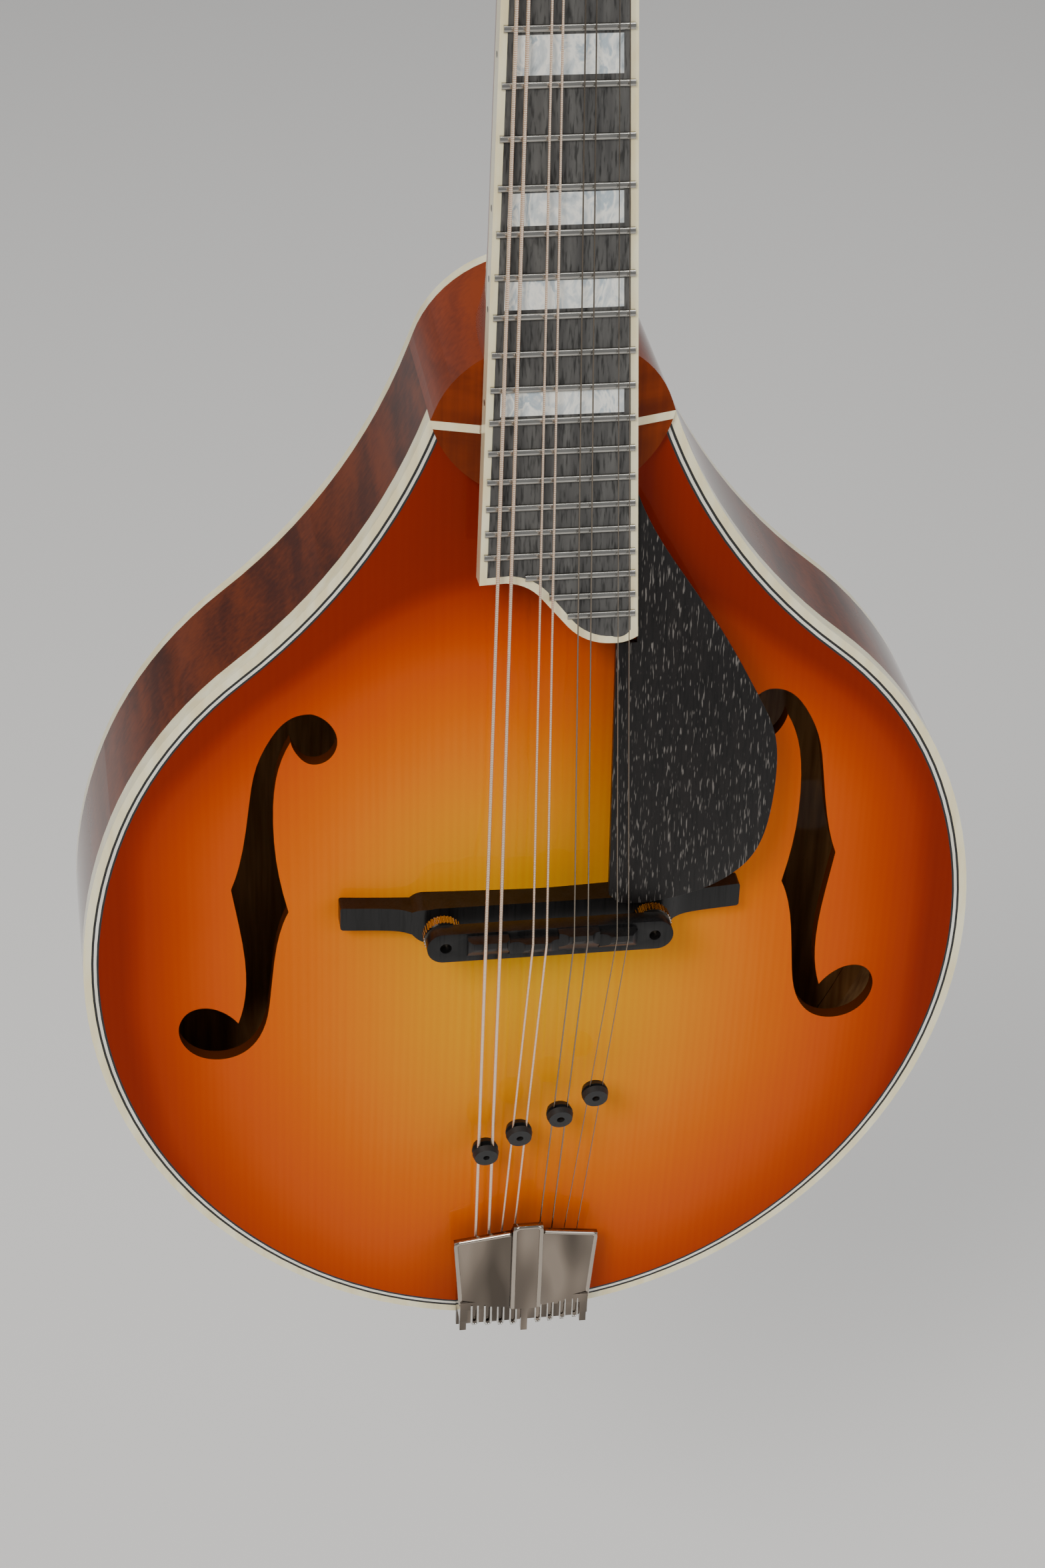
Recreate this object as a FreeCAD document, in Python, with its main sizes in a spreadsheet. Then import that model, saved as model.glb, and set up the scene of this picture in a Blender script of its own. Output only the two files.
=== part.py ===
# An arched-top, A-style mandolin, standing upright in its own frame.
# X runs across the body towards the treble side, Y runs from the front to the back and
# Z runs up along the body towards the head. The origin is the centre of the strap
# button's head at the tail, half-way through the depth of the sides. Millimetres.
import FreeCAD, Part
import math
import os
from bisect import bisect_left
from FreeCAD import Placement, Rotation, Vector

os.makedirs("parts", exist_ok=True)
doc = FreeCAD.newDocument("mandolin")
sheet = doc.addObject("Spreadsheet::Sheet", "Dimensions")

dimensions = {
    # scale and neck
    "scale_length": 352.4,
    "joint_fret": 15,
    "joint_height": 322.0,
    "board_overstand": 13.5,
    "neck_angle": 6.5,
    "board_nut_width": 28.6,
    "board_taper": 0.05386,
    "board_thickness": 6.0,
    "board_binding": 2.0,
    "board_bass_end": 45.0,
    "board_treble_end": 61.7,
    "neck_depth_nut": 20.5,
    "neck_depth_heel": 22.5,
    "nut_thickness": 4.5,
    "nut_rise": 2.1,
    "fret_width": 1.9,
    "fret_height": 1.1,
    "inlay_thickness": 1.2,
    # head
    "head_angle": 13.0,
    "head_drop": 1.2,
    "head_thickness": 12.5,
    "overlay_thickness": 2.0,
    "head_length": 158.0,
    "head_half_low": 31.0,
    "head_half_high": 27.0,
    "first_post": 46.0,
    "post_spacing": 23.0,
    "post_offset": 17.0,
    "post_radius": 3.0,
    "running_gap": 0.06,
    "plate_thickness": 1.2,
    "gear_radius": 5.0,
    "worm_radius": 2.4,
    "shaft_radius": 1.6,
    # body
    "body_depth": 48.0,
    "tail_height": 6.4,
    "neck_end": 317.0,
    "heel_cap_radius": 33.0,
    "tail_radius": 118.4,
    "tail_sweep": 35.65,
    "lower_radius": 141.8,
    "lower_sweep": 75.74,
    "upper_radius": 117.0,
    "upper_sweep": 29.08,
    "waist_radius": 168.5,
    "plate_wood": 4.0,
    "arch_rise": 11.3,
    "arch_centre": 150.0,
    "flat_rim": 0.965,
    "rib_thickness": 2.2,
    "binding_height": 5.5,
    "back_binding_thickness": 1.5,
    "lining_width": 5.3,
    "lining_height": 10.0,
    "purfling_depth": 1.2,
    "head_block_length": 32.0,
    "tail_block_length": 22.0,
    # bridge
    "bridge_height": 168.6,
    "bridge_half": 56.7,
    "bridge_wing": 7.5,
    "bridge_middle": 11.0,
    "wing_rise": 5.2,
    "base_rise": 9.0,
    "saddle_half": 34.5,
    "saddle_width": 9.3,
    "saddle_bottom": -48.5,
    "saddle_shoulder": -53.2,
    "saddle_top": -57.4,
    "string_line": 171.5,
    "bridge_post_offset": 29.3,
    "bridge_post_radius": 1.55,
    "wheel_radius": 5.6,
    "wheel_thickness": 3.2,
    # tail
    "cover_thickness": 1.6,
    "damper_radius": 3.9,
    "guard_angle": 4.2,
    "guard_thickness": 2.2,
    "button_radius": 6.5,
    "button_thickness": 3.0,
}
for row, (alias, value) in enumerate(dimensions.items(), start=1):
    sheet.set("A%d" % row, alias)
    sheet.set("B%d" % row, str(value))
    sheet.setAlias("B%d" % row, alias)
doc.recompute()


def size(alias):
    return float(sheet.get(alias))


pieces = []


def keep(item, label):
    item.Label = label
    pieces.append(item)
    return item


def solid(name, shape, frame=None):
    item = doc.addObject("Part::Feature", name)
    item.Shape = shape
    if frame is not None:
        item.Placement = frame
    return item


def cut(name, base, tools):
    for number, tool in enumerate(tools, start=1):
        step = doc.addObject("Part::Cut", "%s_cut_%d" % (name, number))
        step.Base = base
        step.Tool = tool
        base = step
    return base


def fuse(name, shapes):
    item = doc.addObject("Part::MultiFuse", name)
    item.Shapes = shapes
    return item


def common(name, first, second):
    item = doc.addObject("Part::Common", name)
    item.Base = first
    item.Tool = second
    return item


def box(name, length, width, height, frame):
    item = doc.addObject("Part::Box", name)
    item.setExpression("Length", length)
    item.setExpression("Width", width)
    item.setExpression("Height", height)
    item.Placement = frame
    return item


def cylinder(name, radius, height, frame):
    item = doc.addObject("Part::Cylinder", name)
    item.setExpression("Radius", radius)
    item.setExpression("Height", height)
    item.Placement = frame
    return item


def at(x, y, z, rotation=None):
    return Placement(Vector(x, y, z), rotation or Rotation())


def polygon(points):
    return Part.makePolygon([Vector(*p) for p in points] + [Vector(*points[0])])


def prism(wire, direction):
    return Part.Face(wire).extrude(direction)


alongX = Rotation(Vector(0, 1, 0), 90)
alongY = Rotation(Vector(1, 0, 0), -90)

# ---------------------------------------------------------------- frames of the neck
half_depth = size("body_depth") / 2
neck_angle = size("neck_angle")
joint = Vector(0, -half_depth - size("board_overstand"), size("joint_height"))
neck_frame = Placement(joint, Rotation(Vector(1, 0, 0), -neck_angle))


def fret_distance(number):
    return size("scale_length") * (1 - 2 ** (-number / 12.0))


def fret_place(number):
    return fret_distance(size("joint_fret")) - fret_distance(number)


nut_place = fret_place(0)


def board_half(place):
    return (size("board_nut_width") + size("board_taper") * (nut_place - place)) / 2


head_start = nut_place + size("nut_thickness")
head_frame = neck_frame.multiply(
    at(0, size("head_drop"), head_start, Rotation(Vector(1, 0, 0), -size("head_angle"))))

# ---------------------------------------------------------------- outline of the body
# Right half: three arcs that bulge outwards from the tail, then a hollow arc to the neck.


def outline_chain():
    chain = []
    point = Vector(0, 0, size("tail_height"))
    heading = 0.0
    bends = [("tail", 1), ("lower", 1), ("upper", 1), ("waist", -1)]
    for name, side in bends:
        radius = size(name + "_radius")
        inward = Vector(-math.sin(heading) * side, 0, math.cos(heading) * side)
        centre = point + inward * radius
        sweep = math.radians(size(name + "_sweep")) if side > 0 else 0.0
        chain.append((centre, radius, heading, sweep, side))
        heading += sweep
        inward = Vector(-math.sin(heading) * side, 0, math.cos(heading) * side)
        point = centre - inward * radius
    return chain


chain = outline_chain()
waist_centre, waist_radius, waist_start = chain[3][0], chain[3][1], chain[3][2]
cap_radius = size("heel_cap_radius")
cap_drop = math.sqrt((waist_radius + cap_radius) ** 2 - waist_centre.x ** 2)
cap_centre = Vector(0, 0, waist_centre.z - cap_drop)


def arc_point(link, heading, inset):
    centre, radius, _, _, side = link
    reach = radius - inset * side
    return centre - Vector(-math.sin(heading) * side, 0, math.cos(heading) * side) * reach


def waist_heading(height, inset):
    reach = waist_radius + inset
    return math.acos((height - waist_centre.z) / reach)


def half_outline(inset, top):
    edges = []
    for link in chain[:3]:
        start, sweep = link[2], link[3]
        ends = [arc_point(link, start + sweep * part, inset) for part in (0, 0.5, 1)]
        edges.append(Part.Arc(*ends).toShape())
    last = waist_heading(top, inset)
    steps = [waist_start + (last - waist_start) * part for part in (0, 0.5, 1)]
    ends = [arc_point(chain[3], heading, inset) for heading in steps]
    edges.append(Part.Arc(*ends).toShape())
    return edges, ends[2]


def both_sides(edges):
    mirrored = [edge.mirror(Vector(0, 0, 0), Vector(1, 0, 0)) for edge in edges]
    return edges + mirrored


def body_wire(inset, y, top):
    edges, end = half_outline(inset, top)
    edges = both_sides(edges)
    edges.append(Part.LineSegment(end, Vector(-end.x, 0, end.z)).toShape())
    wire = Part.Wire(Part.__sortEdges__(edges))
    wire.translate(Vector(0, y, 0))
    return wire


def back_wire(inset, y):
    away = (cap_centre - waist_centre).normalize()
    meet = waist_centre + away * (waist_radius + inset)
    edges, _ = half_outline(inset, meet.z)
    edges = both_sides(edges)
    crown = cap_centre + Vector(0, 0, cap_radius - inset)
    edges.append(Part.Arc(meet, crown, Vector(-meet.x, 0, meet.z)).toShape())
    wire = Part.Wire(Part.__sortEdges__(edges))
    wire.translate(Vector(0, y, 0))
    return wire


def body_prism(inset, low, high, top):
    return prism(body_wire(inset, low, top), Vector(0, high - low, 0))


def hoop(outer, inner, low, high, top):
    return body_prism(outer, low, high, top).cut(
        body_prism(inner, low - 1, high + 1, top + 12))


# ---------------------------------------------------------------- arching of the plates
# Height over the rim depends on how far a point is from the middle towards the edge.
arch_centre = Vector(0, 0, size("arch_centre"))
edge_angles = []
edge_reaches = []
for link in chain:
    sweep = link[3] or waist_heading(size("neck_end") + 10, 0) - waist_start
    for step in range(25):
        spoke = arc_point(link, link[2] + sweep * step / 24.0, 0) - arch_centre
        edge_angles.append(math.atan2(spoke.x, -spoke.z))
        edge_reaches.append(math.hypot(spoke.x, spoke.z))


def edge_reach(angle):
    place = min(max(bisect_left(edge_angles, angle), 1), len(edge_angles) - 1)
    low, high = edge_angles[place - 1], edge_angles[place]
    part = min(max((angle - low) / max(high - low, 1e-9), 0.0), 1.0)
    return edge_reaches[place - 1] * (1 - part) + edge_reaches[place] * part


def smooth(part):
    part = min(max(part, 0.0), 1.0)
    return part * part * (3 - 2 * part)


def arch_height(x, z):
    spoke = math.hypot(x, z - size("arch_centre"))
    if spoke < 0.01:
        return size("arch_rise")
    outward = spoke / edge_reach(math.atan2(abs(x), size("arch_centre") - z))
    inside = min(max((size("flat_rim") - outward) / size("flat_rim"), 0.0), 1.0)
    shape = (1 - math.cos(math.pi * inside ** 0.8)) / 2
    return size("arch_rise") * shape * smooth((299 - z) / 55.0)


def arch_face(shift, side):
    """The arched surface, moved inwards by shift; side -1 is the front, 1 the back."""
    rows = []
    for i in range(37):
        x = -144 + 8 * i
        column = []
        for j in range(46):
            z = -8 + 8 * j
            y = side * (half_depth - shift + arch_height(x, z))
            column.append(Vector(x, y, z))
        rows.append(column)
    surface = Part.BSplineSurface()
    surface.interpolate(rows)
    return surface.toShape()


front_surface = arch_face(0, -1)
front_inner = arch_face(size("plate_wood"), -1)
above_front = solid("above_front", front_surface.extrude(Vector(0, -60, 0)))
above_inner = solid("above_inner", front_inner.extrude(Vector(0, -60, 0)))
below_front = solid("below_front", front_surface.extrude(Vector(0, 60, 0)))
under_front = solid("under_front", front_inner.extrude(Vector(0, 60, 0)))
above_back = solid("above_back", arch_face(0, 1).extrude(Vector(0, 60, 0)))
under_back = solid("under_back", arch_face(size("plate_wood"), 1).extrude(Vector(0, -60, 0)))

neck_end = size("neck_end")
rib = size("rib_thickness")
plate_wood = size("plate_wood")
rim_inside = half_depth - plate_wood
strip_height = 2.4
cavity_low = size("tail_height") + size("tail_block_length")
cavity_high = neck_end - size("head_block_length")


def cavity(name, low, high):
    room = body_prism(rib + 11, low, high, neck_end)
    room = room.cut(Part.makeBox(80, 200, 80, Vector(-40, -100, cavity_high)))
    room = room.cut(Part.makeBox(80, 200, 80, Vector(-40, -100, cavity_low - 80)))
    return solid(name, room)


# ---------------------------------------------------------------- f-holes
def f_hole(side):
    upper_outside = [(63.5, -92.3), (70.1, -94.3), (75.0, -100.3), (78.6, -108.3),
                     (80.9, -121.0), (83.2, -136.5), (86.3, -147.6)]
    lower_outside = [(86.3, -147.6), (84.1, -161.0), (82.6, -177.5), (85.0, -194.0)]
    lower_eye = [(85.0, -194.0), (88.2, -190.8), (93.4, -188.7), (98.4, -189.9),
                 (101.7, -194.8), (101.2, -201.0), (97.0, -206.0), (90.5, -207.4),
                 (84.0, -205.0), (78.9, -198.5), (76.0, -186.0), (74.3, -169.0),
                 (70.5, -154.7)]
    upper_inside = [(70.5, -154.7), (73.4, -140.0), (74.3, -123.0), (72.6, -109.0),
                    (69.2, -100.7)]
    upper_eye = [(69.2, -100.7), (67.3, -104.9), (64.0, -107.5), (60.2, -107.0),
                 (57.2, -103.8), (56.6, -99.5), (58.9, -95.0), (63.5, -92.3)]
    lift = size("joint_height")
    edges = []
    for run in (upper_outside, lower_outside, lower_eye, upper_inside, upper_eye):
        curve = Part.BSplineCurve()
        curve.interpolate([Vector(side * x, -60, lift + z) for x, z in run])
        edges.append(curve.toShape())
    return prism(Part.Wire(edges), Vector(0, 55, 0))


f_holes = [solid("f_hole_bass", f_hole(-1)), solid("f_hole_treble", f_hole(1))]

# ---------------------------------------------------------------- top and back plates
purfling_steps = [(2.2, 2.9), (2.9, 3.7), (3.7, 4.3)]
purfling_low = -half_depth
purfling_high = -half_depth + size("purfling_depth")
top_end = neck_end - strip_height
top_blank = solid("top_blank", body_prism(rib, -60, -rim_inside, top_end))
purfling_channel = solid("purfling_channel", hoop(rib - 1, 4.3, purfling_low - 1,
                                                  purfling_high, top_end))
top_room = common("top_room", cavity("top_cavity", -60, -rim_inside + 1), under_front)
top_plate = keep(cut("top", top_blank, [above_front, top_room, purfling_channel] + f_holes),
                 "top_plate")

back_blank = solid("back_blank", prism(back_wire(size("back_binding_thickness"), rim_inside),
                                       Vector(0, 40, 0)))
back_room = common("back_room", cavity("back_cavity", rim_inside - 1, 60), under_back)
back_plate = keep(cut("back", back_blank, [above_back, back_room]), "back_plate")

# ---------------------------------------------------------------- sides, blocks, linings
binding_low = -half_depth + size("binding_height")
ribs_blank = solid("ribs_blank", hoop(0, rib, binding_low, rim_inside, neck_end))
ribs_hole = cylinder("ribs_hole", "3.0", "12", at(0, 0, 0))
keep(cut("rib_ring", ribs_blank, [ribs_hole]), "ribs")

head_block_shape = body_prism(rib, -rim_inside, rim_inside, neck_end).common(
    Part.makeBox(200, 200, 80, Vector(-100, -100, cavity_high)))
head_block = keep(solid("head_block", head_block_shape), "head_block")
tail_block_shape = body_prism(rib, -rim_inside, rim_inside, neck_end).common(
    Part.makeBox(70, 200, cavity_low, Vector(-35, -100, 0)))
tail_hole = cylinder("tail_hole", "3.0", "30", at(0, 0, 0))
tail_block = keep(cut("tail", solid("tail_blank", tail_block_shape), [tail_hole]), "tail_block")

blocks = head_block_shape.fuse(tail_block_shape)
lining_ring = (rib, rib + size("lining_width"))
lining_top = hoop(*lining_ring, -rim_inside, -rim_inside + size("lining_height"), neck_end)
lining_back = hoop(*lining_ring, rim_inside - size("lining_height"), rim_inside, neck_end)
keep(solid("top_lining", lining_top.cut(blocks)), "top_lining")
keep(solid("back_lining", lining_back.cut(blocks)), "back_lining")

bars = []
for side in (-1, 1):
    bar = box("bar_%s" % ("bass" if side < 0 else "treble"), "5", "26", "190",
              Placement(Vector(side * 30 - 2.5, -47.5, 58),
                        Rotation(Vector(0, 1, 0), -side * 3.5)))
    bars.append(cut("bar_%d" % (side + 2), bar, [above_inner]))
keep(fuse("tone_bars", bars), "tone_bars")

# ---------------------------------------------------------------- bindings of the body
rim_front = -half_depth
keep(solid("top_binding", hoop(0, rib, rim_front, binding_low, neck_end)), "top_binding")
lines = [hoop(a, b, purfling_low, purfling_high, top_end) for a, b in purfling_steps]
keep(solid("top_purfling", Part.makeCompound(lines)), "top_purfling")
back_band = prism(back_wire(0, rim_inside), Vector(0, plate_wood, 0)).cut(
    prism(back_wire(size("back_binding_thickness"), rim_inside - 1), Vector(0, 10, 0)))
keep(solid("back_binding", back_band), "back_binding")

# ---------------------------------------------------------------- neck with heel
board_under = size("board_thickness")
keel_depth = 55.0


def neck_section(place, half, depth, fullness):
    points = []
    for step in range(25):
        turn = math.pi * step / 24.0
        across = abs(math.cos(turn)) ** (2.0 / fullness)
        down = math.sin(turn) ** (2.0 / fullness)
        points.append(Vector(math.copysign(across, math.cos(turn)) * half,
                             board_under + down * (depth - board_under), place))
    curve = Part.BSplineCurve()
    curve.interpolate(points)
    return Part.Wire([curve.toShape(), Part.LineSegment(points[-1], points[0]).toShape()])


sections = []
for place in (-6, 0, 6, 12, 17, 22, 27, 32, 38, 46, 60, 90, 130, 170, 205, head_start):
    fall = smooth((place - 8.0) / 36.0)
    taper = (nut_place - place) / nut_place
    slim = size("neck_depth_nut") + (size("neck_depth_heel") - size("neck_depth_nut")) * taper
    depth = keel_depth + (slim - keel_depth) * fall
    fullness = 3.2 - 1.0 * fall
    sections.append(neck_section(place, board_half(place), depth, fullness))
shaft = solid("neck_shaft", Part.makeLoft(sections, True, False), neck_frame)

heel_plan = back_wire(0, -half_depth)
heel_shape = prism(heel_plan, Vector(0, half_depth + rim_inside, 0)).common(
    Part.makeBox(100, 100, 60, Vector(-50, -50, neck_end)))

# The shoulders slope up from the rim to the fingerboard, and run a little over the top.
shoulder_low = 299.0
slope = [(-34, 0), (-34, -0.6), (-19.5, -5.0), (19.5, -5.0), (34, -0.6), (34, 0)]


def shoulder(drop):
    points = [(x, rim_front + y + drop, shoulder_low) for x, y in slope]
    return prism(polygon(points), Vector(0, 0, 45))


end_half = half_outline(0, neck_end)[1].x
ledge = Part.Wire([
    Part.Arc(Vector(-end_half, -45, neck_end), Vector(-27, -45, neck_end - 11),
             Vector(-18, -45, shoulder_low)).toShape(),
    Part.LineSegment(Vector(-18, -45, shoulder_low), Vector(18, -45, shoulder_low)).toShape(),
    Part.Arc(Vector(18, -45, shoulder_low), Vector(27, -45, neck_end - 11),
             Vector(end_half, -45, neck_end)).toShape(),
    Part.LineSegment(Vector(end_half, -45, neck_end), Vector(-end_half, -45, neck_end)).toShape(),
])
ledge_plan = prism(ledge, Vector(0, 45 - half_depth, 0))
cap_plan = prism(back_wire(0, -45), Vector(0, 45 - half_depth, 0)).common(
    Part.makeBox(100, 100, 60, Vector(-50, -60, neck_end)))
shoulder_plan = ledge_plan.fuse(cap_plan)
shoulders = solid("shoulders", shoulder(0).common(shoulder_plan))

support_points = [(-19.0, -45.0, shoulder_low + 1), (19.0, -45.0, shoulder_low + 1),
                  (19.0, -45.0, 340), (-19.0, -45.0, 340)]
support_blank = solid("support_blank", prism(polygon(support_points),
                                             Vector(0, 45 - half_depth, 0)))
over_board = solid("over_board", Part.makeBox(80, 40, 200, Vector(-40, board_under - 40, -100)),
                   neck_frame)
support = cut("board_support", support_blank, [over_board])

strip_box = Part.makeBox(100, 100, strip_height, Vector(-50, -60, neck_end - strip_height))
strip_shape = shoulder(0).cut(shoulder(1.2)).common(shoulder_plan).common(strip_box)
strip_gap = Part.makeBox(38, 100, 20, Vector(-19, -60, neck_end - 10))
strip = keep(solid("joint_strip", strip_shape.cut(strip_gap)), "joint_strip")

# Head: a long paddle with a soft wave at the top, leaning back from the nut.
head_length = size("head_length")
head_low = size("head_half_low")
head_high = size("head_half_high")


def head_wire(inset, depth):
    low, high, end = head_low - inset, head_high - inset, head_length - inset
    right = [
        Part.LineSegment(Vector(15.3 - inset, depth, 0), Vector(15.3 - inset, depth, 4)),
        Part.Arc(Vector(15.3 - inset, depth, 4), Vector(19.5 - inset, depth, 17),
                 Vector(low, depth, 31)),
        Part.Arc(Vector(low, depth, 31), Vector((low + high) / 2 - 0.4, depth, 84),
                 Vector(high, depth, 138)),
        Part.Arc(Vector(high, depth, 138), Vector(high - 7, depth, end - 10),
                 Vector(13, depth, end - 6)),
        Part.Arc(Vector(13, depth, end - 6), Vector(7, depth, end - 2), Vector(0, depth, end)),
    ]
    edges = both_sides([piece.toShape() for piece in right])
    edges.append(Part.LineSegment(Vector(-15.3 + inset, depth, 0),
                                  Vector(15.3 - inset, depth, 0)).toShape())
    return Part.Wire(Part.__sortEdges__(edges))


overlay_deep = size("overlay_thickness")
head_thick = size("head_thickness")
head_wood = solid("head_wood", prism(head_wire(0, overlay_deep), Vector(0, head_thick, 0)),
                  head_frame)
body_side = solid("body_side", Part.makeBox(200, 200, 400, Vector(-100, -half_depth, neck_end - 400)))
behind_back = solid("behind_back", Part.makeBox(200, 100, 400, Vector(-100, rim_inside, 0)))
post_places = [size("first_post") + size("post_spacing") * step for step in range(4)]
post_offset = size("post_offset")
post_radius = size("post_radius")
gap = size("running_gap")
post_bores = []
for side in (-1, 1):
    for step, place in enumerate(post_places):
        bore = Part.makeCylinder(post_radius + 1, 20, Vector(side * post_offset, -1, place),
                                 Vector(0, 1, 0))
        post_bores.append(bore)
bores = solid("post_bores", Part.makeCompound(post_bores), head_frame)
rod_radius = 2.4
rod_low = -15.0
rod_end = head_start + 14.0
rod_depth = board_under + 3.4
rod_channel = solid("rod_channel", Part.makeBox(2 * rod_radius, rod_radius * 2 + 1,
                                                head_start - 2 - rod_low,
                                                Vector(-rod_radius, board_under - 1 + 1, rod_low)),
                    neck_frame)
rod_pocket = solid("rod_pocket", Part.makeBox(10, 14, 27, Vector(-5, -2, head_start - 3)),
                   neck_frame)
volute_sections = [neck_section(place, half, depth, 2.2) for place, half, depth in
                   ((-14, 13.9, 12.0), (-4, 14.0, 19.4), (4, 14.4, 21.0), (12, 15.2, 19.0),
                    (22, 15.4, 14.6), (30, 15.4, 12.0))]
swelling = solid("swelling", Part.makeLoft(volute_sections, True, False),
                 head_frame.multiply(at(0, -0.5, 0)))
board_room = solid("board_room", Part.makeBox(80, 40, head_start + 40,
                                              Vector(-40, board_under - 40, -40)), neck_frame)
volute = cut("volute", swelling, [board_room])
neck_sum = fuse("neck_sum", [shaft, solid("heel_block", heel_shape), shoulders, support, head_wood,
                             volute])
keep(cut("neck_wood", neck_sum, [body_side, behind_back, strip, bores, rod_channel, rod_pocket]),
     "neck")

# ---------------------------------------------------------------- fingerboard
bass_end = -size("board_bass_end")
treble_end = -size("board_treble_end")


def board_wire(inset, depth):
    top = nut_place
    left_top = -board_half(top) + inset
    left_low = -board_half(bass_end) + inset
    right_low = board_half(treble_end) - inset
    lift = inset
    corner = Vector(left_low, depth, bass_end + lift)
    curl = Vector(-14.0 + inset * 0.4, depth, bass_end + 0.3 + lift)
    drop = Vector(-4.4 + inset * 0.7, depth, -49.7 + lift)
    sweep = Vector(2.6 + inset * 0.5, depth, -58.0 + lift)
    belly = Vector(14.5, depth, -63.4 + lift)
    end = Vector(right_low, depth, treble_end + lift)
    edges = [
        Part.LineSegment(Vector(left_top, depth, top), corner),
        Part.LineSegment(corner, curl),
        Part.Arc(curl, Vector(-8.4 + inset * 0.5, depth, -46.3 + lift), drop),
        Part.LineSegment(drop, sweep),
        Part.Arc(sweep, Vector(8.2 + inset * 0.3, depth, -62.1 + lift), belly),
        Part.Arc(belly, Vector(18.2, depth, -63.1 + lift), end),
        Part.LineSegment(end, Vector(-left_top, depth, top)),
        Part.LineSegment(Vector(-left_top, depth, top), Vector(left_top, depth, top)),
    ]
    return Part.Wire([edge.toShape() for edge in edges])


board_edge = size("board_binding")
inner_top = Part.makeBox(60, 20, 10, Vector(-30, -5, nut_place))
wide_board = prism(board_wire(0, 0), Vector(0, board_under, 0))
board_core = prism(board_wire(board_edge, 0), Vector(0, board_under, 0))
binding_shape = wide_board.cut(board_core)
inlay_shapes = []
inlay_deep = size("inlay_thickness")
for number in (3, 5, 7, 10, 12, 15):
    low, high = fret_place(number), fret_place(number - 1)
    start = low + (high - low) * 0.17
    stop = low + (high - low) * 0.88
    edge = board_edge + 1.7
    corners = [(-board_half(start) + edge, 0, start), (board_half(start) - edge, 0, start),
               (board_half(stop) - edge, 0, stop), (-board_half(stop) + edge, 0, stop)]
    inlay_shapes.append(prism(polygon(corners), Vector(0, inlay_deep, 0)))
inlays = solid("inlay_blocks", Part.makeCompound(inlay_shapes), neck_frame)
board_blank = solid("board_blank", board_core, neck_frame)
keep(cut("board", board_blank, [inlays]), "fingerboard")
keep(inlays, "position_inlays")

dots = []
for number in (3, 5, 7, 10, 12, 15):
    middle = (fret_place(number) + fret_place(number - 1)) / 2
    shifts = (-4, 4) if number == 12 else (0,)
    for shift in shifts:
        place = middle + shift
        dots.append(Part.makeCylinder(0.9, 1.2, Vector(-board_half(place) - 0.02, 3.0, place),
                                      Vector(1, 0, 0)))
dot_set = solid("dot_set", Part.makeCompound(dots), neck_frame)
binding_blank = solid("binding_blank", binding_shape, neck_frame)
keep(cut("board_trim", binding_blank, [dot_set]), "fingerboard_binding")
keep(dot_set, "side_dots")

fret_half = size("fret_width") / 2
fret_rise = size("fret_height")
fret_left = {21: -9.0, 22: -2.6, 23: 2.4}
fret_shapes = []
for number in range(1, 24):
    place = fret_place(number)
    right = board_half(place) - 0.9
    left = fret_left.get(number, -right)
    start, stop = Vector(left, 0, place - fret_half), Vector(left, 0, place + fret_half)
    crown = Part.Arc(start, Vector(left, -fret_rise, place), stop).toShape()
    foot = Part.LineSegment(stop, start).toShape()
    fret_shapes.append(prism(Part.Wire([crown, foot]), Vector(right - left, 0, 0)))
keep(solid("fret_set", Part.makeCompound(fret_shapes), neck_frame), "frets")

# ---------------------------------------------------------------- strings and their stops
bass_courses = [[(-11.2, -19.0, -15.2, 0.50), (-8.8, -15.0, -11.2, 0.50)],
                [(-4.3, -5.8, -7.3, 0.33), (-2.0, -2.0, -3.5, 0.33)]]
treble_courses = [[(2.6, 5.7, 4.2, 0.205), (4.9, 9.5, 8.0, 0.205)],
                  [(9.6, 17.7, 11.9, 0.14), (11.9, 20.9, 15.8, 0.14)]]
courses = {"strings_g": bass_courses[0], "strings_d": bass_courses[1],
           "strings_a": treble_courses[0], "strings_e": treble_courses[1]}
post_of = {"strings_g": (-1, 0, 1), "strings_d": (-1, 2, 3),
           "strings_a": (1, 3, 2), "strings_e": (1, 1, 0)}
nut_clear = 1.4
cover_edge = 45.5
hook_height = 12.5
string_paths = {}
for label, pair in courses.items():
    side, first, second = post_of[label]
    for string, post in zip(pair, (first, second)):
        nut_x, saddle_x, tail_x, radius = string
        nut_point = neck_frame.multVec(Vector(nut_x, -nut_clear - radius, nut_place + 1.2))
        reach = post_offset - post_radius - 0.45 - radius
        post_point = head_frame.multVec(Vector(side * reach, -5.5 - post % 2, post_places[post]))
        saddle_point = Vector(saddle_x, size("saddle_top") - 0.03 - radius, size("string_line"))
        edge_point = Vector(tail_x, -31.6, cover_edge)
        hook_point = Vector(tail_x, -30.4, hook_height)
        string_paths[(label, post)] = (radius, [hook_point, edge_point, saddle_point, nut_point,
                                                post_point])


def round_path(points, radius):
    parts = []
    for start, stop in zip(points, points[1:]):
        run = stop - start
        parts.append(Part.makeCylinder(radius, run.Length, start, run))
    joints = [Part.makeSphere(radius, point) for point in points[1:-1]]
    return parts[0].fuse(parts[1:] + joints)


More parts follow.
